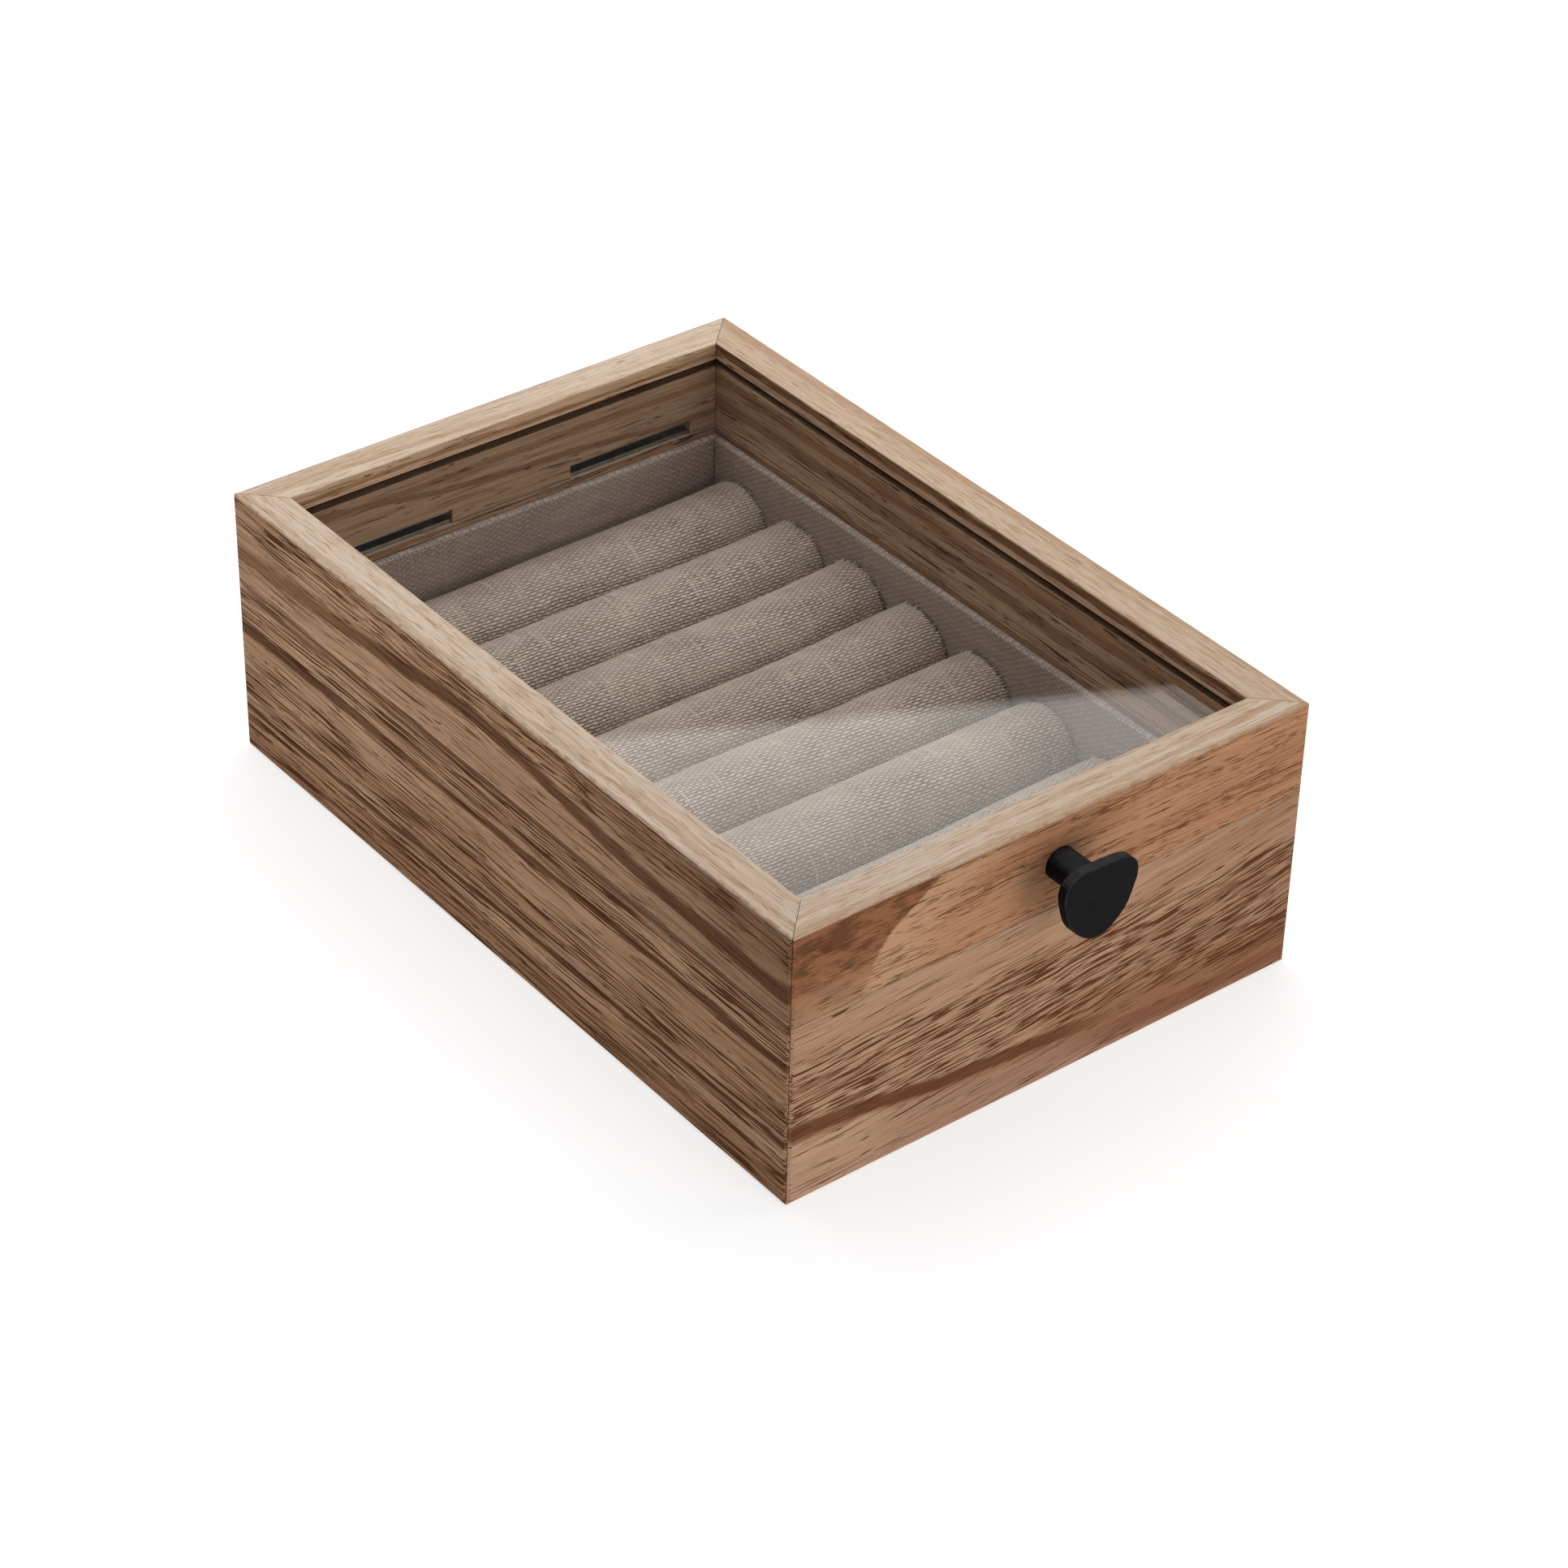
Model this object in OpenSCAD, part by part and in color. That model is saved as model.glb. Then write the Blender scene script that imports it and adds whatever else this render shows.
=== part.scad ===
// Ring display box: a wooden case with a hinged, glazed lid over eight padded ring rolls.
// Millimetres. The origin is the middle of the underside, +X is right, the front faces -Y, +Z is up.
// The lid is drawn closed, which is its rest position.

/* [Case] */
// Overall width, left to right
case_w = 142; // [110:1:190]
// Overall depth, front to back, without the knob and the hinge barrels
case_d = 210; // [165:1:270]
// Overall height with the lid closed
case_h = 70; // [66:1:90]
// Height of the base up to its rim
base_h = 47; // [38:1:49]
// Thickness of the side boards
board_t = 10; // [8:0.5:13]
// Gap between the closed lid and the rim of the base
lid_gap = 0.15; // [0.1:0.05:0.8]
// Width of the glue line in each mitred corner
mitre_gap = 0.12; // [0.04:0.02:0.3]
// Rounding of the upright corners of the case
corner_r = 1.6; // [0.5:0.1:4]
// Rounding of the long outer edges at the top and the bottom
edge_r = 1.2; // [0.4:0.1:3]
// Rounding of the outer edges along the seam between lid and base
seam_r = 0.2; // [0.1:0.1:0.8]
// Rounding of the inner edges of lid and base
inner_r = 0.4; // [0.2:0.1:0.8]

/* [Bottom] */
// Thickness of the bottom panel, which lies flush with the underside
bottom_t = 5; // [3:0.5:6]
// How far the rebate for the bottom panel reaches into the boards
rebate_w = 5; // [3:0.5:6]
// Play of the bottom panel in its rebate, at each edge
bottom_clear = 0.2; // [0.1:0.1:0.5]

/* [Glass] */
// Height of the wooden lip above the glass
lip_h = 4.3; // [3:0.1:6]
// Thickness of the glass
glass_t = 2; // [1.5:0.5:3]
// Height of the groove beyond the glass
groove_clear = 0.2; // [0.1:0.1:0.5]
// Depth of the glass groove in each board
groove_d = 4; // [2.5:0.5:5]
// Play of the glass at the end of the groove
glass_clear = 0.5; // [0.2:0.1:1]

/* [Lining] */
// Thickness of the covered card on the floor
floor_card_t = 2; // [1:0.5:3]
// Thickness of the covered card on the four walls
wall_card_t = 2; // [1:0.5:3]
// How far the wall lining stays below the rim of the base
lining_drop = 1.8; // [1:0.1:4]
// Play between the pieces of lining where they meet
lining_clear = 0.2; // [0.1:0.1:0.5]
// Rounding of the covered card's top edge
lining_r = 0.9; // [0.3:0.1:0.9]

/* [Ring rolls] */
// Height of a roll at its crest
roll_h = 28; // [27:0.1:32]
// How much lower the two rolls nearest the front are pressed
roll_settle = 4; // [0:0.1:6]
// Rounding of a roll's lower edges
roll_foot_r = 7; // [3:0.5:8]
// Gap between two rolls, and between a roll and the lining
roll_gap = 0.3; // [0.2:0.1:0.8]
// Gap between the ends of a roll and the side lining
roll_end_gap = 0.6; // [0.3:0.1:1]
// How much the cloth draws a roll in at its ends
roll_draw = 0.8; // [0:0.1:1.5]
// Length at each end over which a roll is drawn in
roll_draw_len = 4; // [2:0.5:8]
// Height of the slow waves in a roll's crest
roll_wave = 0.35; // [0:0.05:0.5]

/* [Hinges] */
// Length of a hinge
hinge_len = 35.5; // [28:0.5:44]
// Distance of each hinge's middle from the middle of the case
hinge_x = 35.2; // [26:0.2:40]
// Diameter of the hinge barrel
barrel_d = 4; // [3.4:0.1:5]
// Thickness of the hinge leaves
leaf_t = 1; // [0.6:0.1:1.2]
// How far the leaves reach in from the rear face
leaf_reach = 9.2; // [7:0.1:9.5]
// Gap between the barrel and the rear face of the case
barrel_clear = 0.3; // [0.2:0.1:1]
// Number of knuckles in the barrel, both leaves together
knuckles = 5; // [3:2:7]
// Gap between neighbouring knuckles
knuckle_gap = 0.2; // [0.1:0.05:0.4]
// Diameter of the hinge pin
pin_d = 1.8; // [1.2:0.1:2.2]
// Play of the pin in the knuckles, on the radius
pin_clear = 0.08; // [0.02:0.01:0.1]
// Play of each hinge at the ends of its notch
notch_clear = 0.3; // [0.1:0.1:1]

/* [Hinge screws] */
// Distance of each screw from the middle of its hinge
screw_x = 11.4; // [8:0.2:12]
// Distance of the screws from the rear face
screw_inset = 5.5; // [4.5:0.1:6]
// Diameter of the screw shank
screw_d = 1.8; // [1.4:0.1:2.4]
// Diameter of the countersunk head
screw_head_d = 3.8; // [3.4:0.1:4.4]
// Length of the screw with its head
screw_len = 8; // [6:0.5:9]
// Play of the screw in the leaf and in the wood, on the radius
screw_clear = 0.06; // [0.02:0.01:0.1]

/* [Knob] */
// Mean radius of the knob's plate
plate_r = 9.6; // [8:0.1:11]
// How far the plate's three rounded corners swell out
plate_lobe = 0.95; // [0.4:0.05:1.2]
// Swelling of the corners and of the sides alike, which makes the corners rounder
plate_fill = 0.15; // [0.05:0.01:0.2]
// How far the plate swells to the left and right, and draws in at its top and bottom
plate_widen = 0.33; // [0:0.01:0.5]
// How far the plate draws in at its top, bottom, left and right together
plate_flatten = 0.26; // [0:0.01:0.4]
// Thickness of the plate
plate_t = 2.6; // [2:0.1:4]
// Bevel of the plate's edges
plate_bevel = 0.2; // [0.1:0.05:0.6]
// Distance of the plate's middle below the stem
plate_drop = 1.3; // [0:0.1:2]
// Turn of the plate about the stem, in degrees
plate_turn = -2.4; // [-10:0.2:10]
// Diameter of the knob's stem
stem_d = 7.8; // [6:0.1:10]
// Length of the stem in front of the lid
stem_len = 10.7; // [8:0.1:14]

/* [Knob screw] */
// Diameter of the machine screw
bolt_d = 3; // [2.5:0.5:4]
// Depth to which the screw enters the stem
bolt_grip = 7; // [5:0.5:7]
// Diameter of the pan head inside the lid
bolt_head_d = 6; // [5:0.2:8]
// Height of the pan head
bolt_head_h = 2; // [1.6:0.1:3]
// Play of the screw in the board, on the radius
bolt_clear = 0.2; // [0.1:0.05:0.4]
// Play of the screw in the stem's thread, on the radius
thread_clear = 0.05; // [0.02:0.01:0.1]

/* [Hidden] */
ROLLS = 8;

WOOD = "burlywood";
WOOD_DARK = "peru";
CLOTH = "tan";
CLOTH_GREY = "darkgray";
STEEL = "silver";
BLACK = [0.09, 0.09, 0.09];

// Round shapes are true circles, so this only sets how finely they are drawn
$fn = 48;
// Cutting shapes run this far past the surface that they open
cut = 1;

inner_w = case_w - 2 * board_t;
inner_d = case_d - 2 * board_t;
lid_bottom = base_h + lid_gap;

groove_top = case_h - lip_h;
groove_bottom = groove_top - glass_t - groove_clear;

floor_top = bottom_t + floor_card_t;
lining_top = base_h - lining_drop;
lined_w = inner_w - 2 * wall_card_t;
lined_d = inner_d - 2 * wall_card_t;

roll_pitch = lined_d / ROLLS;
roll_w = roll_pitch - roll_gap;
roll_len = lined_w - 2 * roll_end_gap;
roll_stations = 11;
roll_top_steps = 16;
roll_foot_steps = 4;

axis_y = case_d / 2 + barrel_clear + barrel_d / 2;
axis_z = base_h + barrel_d / 2;
leaf_y = case_d / 2 - leaf_reach;
knuckle_pitch = hinge_len / knuckles;
notch_top = base_h + barrel_d;
screw_y = case_d / 2 - screw_inset;

knob_z = (base_h + case_h) / 2;
plate_points = 72;
plate_lobes = 3;
bolt_head_dome = 0.6;

// A rectangle from [0, 0] to [w, h] with a radius for each corner: low left, low right, top right, top left
module eased_rectangle(w, h, radii) {
  corners = [[0, 0], [w, 0], [w, h], [0, h]];
  signs = [[1, 1], [-1, 1], [-1, -1], [1, -1]];
  difference() {
    square([w, h]);
    for (i = [0:3]) {
      r = radii[i];
      if (r > 0) {
        translate(corners[i])
          mirror([signs[i][0] < 0 ? 1 : 0, 0])
            mirror([0, signs[i][1] < 0 ? 1 : 0])
              difference() {
                square(2 * r, center = true);
                translate([r, r]) circle(r);
              }
      }
    }
  }
}

// Plan of the case with its rounded upright corners, made of squares and circles
module case_plan() {
  x = case_w / 2 - corner_r;
  y = case_d / 2 - corner_r;
  square([case_w, 2 * y], center = true);
  square([2 * x, case_d], center = true);
  for (sx = [-1, 1], sy = [-1, 1]) {
    translate([sx * x, sy * y]) circle(corner_r);
  }
}

// Plan of the mitred board along the front, for a frame of the given width and depth
module mitre_plan(w, d) {
  x = w / 2 - mitre_gap / sqrt(2);
  polygon([[-x, -d / 2], [x, -d / 2], [x - board_t, -d / 2 + board_t], [board_t - x, -d / 2 + board_t]]);
}

// The board along the front of a frame of the given width and depth. Its child is the board's section:
// x runs inward from the outer face and y is the height above the underside.
module front_board(w, d) {
  intersection() {
    translate([-w / 2, -d / 2, 0]) rotate([90, 0, 90]) linear_extrude(w) children();
    linear_extrude(case_h) mitre_plan(w, d);
  }
}

// Turns the child, drawn as a front board, to one side of the case and rounds the upright corners
module on_side(side) {
  intersection() {
    rotate(side == "front" ? 0 : side == "right" ? 90 : side == "rear" ? 180 : -90) children();
    linear_extrude(case_h) case_plan();
  }
}

function side_w(side) = side == "front" || side == "rear" ? case_w : case_d;
function side_d(side) = side == "front" || side == "rear" ? case_d : case_w;

// Section of a base board: a plain board with a rebate for the bottom panel
module base_section() {
  difference() {
    eased_rectangle(board_t, base_h, [edge_r, 0, inner_r, seam_r]);
    translate([board_t - rebate_w, -cut]) square([rebate_w + cut, bottom_t + cut]);
  }
}

// Section of a lid board: a plain board with a groove for the glass
module lid_section() {
  difference() {
    translate([0, lid_bottom])
      eased_rectangle(board_t, case_h - lid_bottom, [seam_r, inner_r, inner_r, edge_r]);
    translate([board_t - groove_d, groove_bottom])
      square([groove_d + cut, groove_top - groove_bottom]);
  }
}

module base_board(side) {
  on_side(side) front_board(side_w(side), side_d(side)) base_section();
}

module lid_board(side) {
  on_side(side) front_board(side_w(side), side_d(side)) lid_section();
}

module base_front_board() {
  color(WOOD_DARK) base_board("front");
}

module base_rear_board() {
  color(WOOD_DARK)
    difference() {
      base_board("rear");
      hinge_screw_holes(base_h, -1);
    }
}

module base_left_board() {
  color(WOOD) base_board("left");
}

module base_right_board() {
  color(WOOD) base_board("right");
}

module bottom_panel() {
  w = inner_w + 2 * (rebate_w - bottom_clear);
  d = inner_d + 2 * (rebate_w - bottom_clear);
  color(WOOD) translate([-w / 2, -d / 2, 0]) cube([w, d, bottom_t]);
}

module lid_front_board() {
  color(WOOD_DARK)
    difference() {
      lid_board("front");
      translate([0, -case_d / 2 - cut, knob_z])
        rotate([-90, 0, 0]) cylinder(d = bolt_d + 2 * bolt_clear, h = board_t + 2 * cut);
    }
}

// The rear board of the lid has a notch over each hinge, through its whole thickness
module lid_rear_board() {
  color(WOOD_DARK)
    difference() {
      lid_board("rear");
      for (s = [-1, 1]) {
        translate([
          s * hinge_x - hinge_len / 2 - notch_clear,
          case_d / 2 - board_t - cut,
          base_h - cut
        ])
          cube([hinge_len + 2 * notch_clear, board_t + 2 * cut, notch_top - base_h + cut]);
      }
      hinge_screw_holes(notch_top, 1);
    }
}

module lid_left_board() {
  color(WOOD) lid_board("left");
}

module lid_right_board() {
  color(WOOD) lid_board("right");
}

// The glass lies on the lower side of the groove in all four boards
module glass_pane() {
  w = inner_w + 2 * (groove_d - glass_clear);
  d = inner_d + 2 * (groove_d - glass_clear);
  color("lightcyan", 0.4) translate([-w / 2, -d / 2, groove_bottom]) cube([w, d, glass_t]);
}

module floor_lining() {
  w = inner_w - 2 * lining_clear;
  d = inner_d - 2 * lining_clear;
  color(CLOTH_GREY) translate([-w / 2, -d / 2, bottom_t]) cube([w, d, floor_card_t]);
}

// A covered card against the wall that lies along X at -Y, with a rounded top edge inside
module wall_card(len, wall_y) {
  translate([-len / 2, wall_y, floor_top])
    rotate([90, 0, 90])
      linear_extrude(len)
        eased_rectangle(wall_card_t, lining_top - floor_top, [0, 0, lining_r, 0]);
}

module lining_front() {
  color(CLOTH_GREY) wall_card(inner_w - 2 * lining_clear, -inner_d / 2);
}

module lining_rear() {
  color(CLOTH_GREY) rotate(180) wall_card(inner_w - 2 * lining_clear, -inner_d / 2);
}

module lining_left() {
  color(CLOTH_GREY) rotate(-90) wall_card(lined_d - 2 * lining_clear, -inner_w / 2);
}

module lining_right() {
  color(CLOTH_GREY) rotate(90) wall_card(lined_d - 2 * lining_clear, -inner_w / 2);
}

// How far the surface of a roll is drawn in at x: nothing in the middle, the full draw at the ends
function roll_inset(x) =
  let (s = max(0, 1 - (roll_len / 2 - abs(x)) / roll_draw_len))
  roll_draw * s * s;

// Height of the crest, with slow waves that differ from roll to roll
function roll_crest(x, i) =
  let (settled = i > ROLLS - 2 ? roll_settle : 0)
  roll_h - settled + roll_wave * sin(450 * x / roll_len + 97 * i) * cos(230 * x / roll_len - 61 * i);

// Section of a roll at x as [y, z] above the floor: a round top, straight pressed sides and rounded lower edges
function roll_section(x, i) =
  let (inset = roll_inset(x))
  let (r = roll_w / 2 - inset)
  let (top = roll_crest(x, i) - inset - r)
  let (foot = roll_foot_r)
  concat(
    [for (k = [0:roll_top_steps]) let (a = 180 * k / roll_top_steps) [r * cos(a), top + r * sin(a)]],
    [for (k = [0:roll_foot_steps])
      let (a = 180 + 90 * k / roll_foot_steps) [-r + foot + foot * cos(a), foot + foot * sin(a)]],
    [for (k = [0:roll_foot_steps])
      let (a = 270 + 90 * k / roll_foot_steps) [r - foot + foot * cos(a), foot + foot * sin(a)]]
  );

// Roll number i, counted from the rear. Its stations lie closer together towards the ends.
module ring_roll(i) {
  n = roll_top_steps + 2 * roll_foot_steps + 3;
  last = (roll_stations - 1) * n;
  stations = [for (k = [0:roll_stations - 1]) -roll_len / 2 * cos(180 * k / (roll_stations - 1))];
  points = [for (x = stations, p = roll_section(x, i)) [x, p[0], p[1]]];
  sides = [for (k = [0:roll_stations - 2], j = [0:n - 1])
    let (a = k * n + j)
    let (b = k * n + (j + 1) % n)
    each [[a, b, b + n], [a, b + n, a + n]]];
  caps = [for (j = [1:n - 2]) each [[0, j + 1, j], [last, last + j, last + j + 1]]];
  y = lined_d / 2 - (i - 0.5) * roll_pitch;
  color(CLOTH) translate([0, y, floor_top]) polyhedron(points, concat(sides, caps), convexity = 4);
}

// X position where knuckle k begins, for a hinge with its middle at x
function knuckle_x(x, k) = x - hinge_len / 2 + k * knuckle_pitch + knuckle_gap / 2;

// One leaf of the hinge with its middle at x, with knuckles number first, first + 2 and so on.
// The plate lies from z up, and dir is the way the screws point.
module hinge_leaf(x, first, z, dir) {
  face = dir < 0 ? z + leaf_t : z;
  difference() {
    union() {
      translate([x - hinge_len / 2, leaf_y, z]) cube([hinge_len, axis_y - leaf_y, leaf_t]);
      for (k = [first:2:knuckles - 1]) {
        translate([knuckle_x(x, k), axis_y, axis_z])
          rotate([0, 90, 0]) cylinder(d = barrel_d, h = knuckle_pitch - knuckle_gap);
      }
    }
    for (k = [1 - first:2:knuckles - 1]) {
      translate([knuckle_x(x, k) - knuckle_gap, axis_y - barrel_d / 2 - barrel_clear, z - cut])
        cube([knuckle_pitch + knuckle_gap, barrel_d, leaf_t + 2 * cut]);
    }
    translate([x - hinge_len / 2 - cut, axis_y, axis_z])
      rotate([0, 90, 0]) cylinder(d = pin_d + 2 * pin_clear, h = hinge_len + 2 * cut);
    for (s = [-1, 1]) {
      translate([x + s * screw_x, screw_y, face]) {
        hinge_screw(dir, screw_clear);
      }
    }
  }
}

// A countersunk wood screw with its head's face at z = 0, pointing along dir, grown by a play on the radius
module hinge_screw(dir, play) {
  tip = screw_d;
  mirror([0, 0, dir < 0 ? 1 : 0]) {
    cylinder(d1 = screw_head_d + 2 * play, d2 = screw_d + 2 * play, h = leaf_t);
    cylinder(d = screw_d + 2 * play, h = screw_len - tip);
    translate([0, 0, screw_len - tip]) cylinder(d1 = screw_d + 2 * play, d2 = 0.4 + 2 * play, h = tip);
  }
}

// Pilot holes of all the screws that enter one rear board at height z
module hinge_screw_holes(z, dir) {
  hole_len = screw_len - leaf_t + 2 * screw_clear;
  for (s = [-1, 1], t = [-1, 1]) {
    translate([s * hinge_x + t * screw_x, screw_y, dir < 0 ? z - hole_len : z - cut])
      cylinder(d = screw_d + 2 * screw_clear, h = hole_len + cut);
  }
}

// All the screws of one kind of leaf, with their heads' faces at height z
module hinge_screws(z, dir) {
  for (s = [-1, 1], t = [-1, 1]) {
    translate([s * hinge_x + t * screw_x, screw_y, z]) hinge_screw(dir, 0);
  }
}

module hinge_base_leaf(x) {
  color(STEEL) hinge_leaf(x, 0, base_h, -1);
}

module hinge_lid_leaf(x) {
  color(STEEL) hinge_leaf(x, 1, notch_top - leaf_t, 1);
}

module hinge_pin(x) {
  color(STEEL) translate([x - hinge_len / 2, axis_y, axis_z]) rotate([0, 90, 0]) cylinder(d = pin_d, h = hinge_len);
}

module hinge_base_screws() {
  color(STEEL) hinge_screws(base_h + leaf_t, -1);
}

module hinge_lid_screws() {
  color(STEEL) hinge_screws(notch_top - leaf_t, 1);
}

// Outline of the knob's plate: a round triangle with one corner down, drawn in by the given amount
module plate_outline(inset) {
  polygon([for (k = [0:plate_points - 1])
    let (a = 360 * k / plate_points)
    let (corners = plate_lobe * cos(plate_lobes * (a - 30)) + plate_fill * cos(2 * plate_lobes * (a - 30)))
    let (width = plate_widen * cos(2 * a) - plate_flatten * cos(4 * a))
    (plate_r - inset + corners + width) * [cos(a), sin(a)]]);
}

// The knob stands on the front of the lid: a round stem, and a plate across its end
module knob() {
  color(BLACK)
    translate([0, -case_d / 2, knob_z])
      rotate([90, 0, 0])
        difference() {
          union() {
            cylinder(d = stem_d, h = stem_len + plate_t / 2);
            rotate(plate_turn)
              translate([0, -plate_drop, stem_len])
                hull() {
                  linear_extrude(plate_t) plate_outline(plate_bevel);
                  translate([0, 0, plate_bevel]) linear_extrude(plate_t - 2 * plate_bevel) plate_outline(0);
                }
          }
          translate([0, 0, -cut])
            cylinder(d = bolt_d + 2 * thread_clear, h = bolt_grip + cut + bolt_clear);
        }
}

// A machine screw through the front board of the lid, with its pan head inside
module knob_screw() {
  color(STEEL)
    translate([0, board_t - case_d / 2, knob_z])
      rotate([-90, 0, 0]) {
        rotate_extrude() eased_rectangle(bolt_head_d / 2, bolt_head_h, [0, 0, bolt_head_dome, 0]);
        translate([0, 0, -board_t - bolt_grip]) cylinder(d = bolt_d, h = board_t + bolt_grip + bolt_head_h / 2);
      }
}

base_front_board();
base_rear_board();
base_left_board();
base_right_board();
bottom_panel();
floor_lining();
lining_front();
lining_rear();
lining_left();
lining_right();
ring_roll(1);  // ring_roll_1
ring_roll(2);  // ring_roll_2
ring_roll(3);  // ring_roll_3
ring_roll(4);  // ring_roll_4
ring_roll(5);  // ring_roll_5
ring_roll(6);  // ring_roll_6
ring_roll(7);  // ring_roll_7
ring_roll(8);  // ring_roll_8
lid_front_board();
lid_rear_board();
lid_left_board();
lid_right_board();
glass_pane();
hinge_base_leaf(-hinge_x);  // hinge_left_base_leaf
hinge_lid_leaf(-hinge_x);  // hinge_left_lid_leaf
hinge_pin(-hinge_x);  // hinge_left_pin
hinge_base_leaf(hinge_x);  // hinge_right_base_leaf
hinge_lid_leaf(hinge_x);  // hinge_right_lid_leaf
hinge_pin(hinge_x);  // hinge_right_pin
hinge_base_screws();
hinge_lid_screws();
knob();
knob_screw();
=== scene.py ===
"""Ring display box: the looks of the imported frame. Lengths in millimetres are turned into metres by MM."""
import math
import bmesh
import bpy
import numpy as np
from mathutils import Matrix, Vector


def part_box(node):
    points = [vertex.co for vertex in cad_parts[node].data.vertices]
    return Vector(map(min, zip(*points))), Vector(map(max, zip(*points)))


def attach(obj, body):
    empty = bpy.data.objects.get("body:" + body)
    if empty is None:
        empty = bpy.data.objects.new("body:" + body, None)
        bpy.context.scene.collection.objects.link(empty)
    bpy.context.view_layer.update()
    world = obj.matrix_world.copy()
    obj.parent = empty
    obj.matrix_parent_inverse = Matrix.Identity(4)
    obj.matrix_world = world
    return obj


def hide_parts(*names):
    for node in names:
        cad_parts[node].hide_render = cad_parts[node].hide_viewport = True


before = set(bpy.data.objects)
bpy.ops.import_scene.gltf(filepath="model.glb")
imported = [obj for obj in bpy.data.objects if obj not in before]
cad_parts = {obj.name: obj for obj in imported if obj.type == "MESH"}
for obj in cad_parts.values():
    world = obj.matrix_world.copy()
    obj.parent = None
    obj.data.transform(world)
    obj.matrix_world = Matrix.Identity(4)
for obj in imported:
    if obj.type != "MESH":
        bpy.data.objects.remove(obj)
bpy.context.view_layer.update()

MM = 0.001

# The camera, fitted to the corners of the box in the photograph
CAMERA_PLACE = (-0.5001, -0.6397, 0.5948)
CAMERA_RIGHT = (0.79026, -0.61248, 0.01897)
CAMERA_DOWN = (-0.34241, -0.46704, -0.81525)
CAMERA_FORWARD = (0.50819, 0.63776, -0.57880)
LENS = 99.62
SENSOR = 36.0

# The soft box overhead, whose far edge is what the glass mirrors
SOFT_HEIGHT = 0.80
SOFT_EDGE = 1.004
SOFT_TURN = 62.8
SOFT_DEPTH = 1.15
SOFT_WIDTH = 1.30
SOFT_RADIANCE = 2.2

# The softer fill light, in front, to the right of the camera
FILL_PLACE = (0.22, -1.28, 0.42)
FILL_SIZE = 0.70
FILL_RADIANCE = 3.8

# Wood colours as linear light, as they were read
SIDE_PALE = (0.545, 0.338, 0.203)
SIDE_TAN = (0.30, 0.150, 0.070)
INNER_PALE = (0.64, 0.435, 0.285)
INNER_TAN = (0.40, 0.225, 0.125)
SIDE_BROWN = (0.070, 0.021, 0.005)
LID_PALE = (0.45, 0.232, 0.124)
LID_TAN = (0.34, 0.148, 0.066)
BASE_PALE = (0.450, 0.270, 0.168)
BASE_TAN = (0.33, 0.168, 0.090)
BASE_PINK = (0.49, 0.304, 0.197)
FRONT_BROWN = (0.098, 0.029, 0.007)
HEARTWOOD = (0.245, 0.094, 0.038)
HEART_DARK = (0.095, 0.029, 0.009)
RIM_PALE = (0.48, 0.280, 0.160)
STAIN = (0.205, 0.080, 0.039)
# The top edges' colours: paler partly in their own right and partly as painted sheen
EDGE_PALE = (0.645, 0.520, 0.405)
EDGE_TAN = (0.47, 0.305, 0.195)


def place_camera():
    data = bpy.data.cameras.new("camera")
    data.lens = LENS
    data.sensor_width = SENSOR
    data.sensor_fit = "HORIZONTAL"
    data.clip_start = 0.01
    camera = bpy.data.objects.new("camera", data)
    right = Vector(CAMERA_RIGHT)
    up = -Vector(CAMERA_DOWN)
    back = -Vector(CAMERA_FORWARD)
    turn = Matrix((right, up, back)).transposed().to_4x4()
    camera.matrix_world = Matrix.Translation(CAMERA_PLACE) @ turn
    bpy.context.scene.collection.objects.link(camera)
    bpy.context.scene.camera = camera


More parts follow.
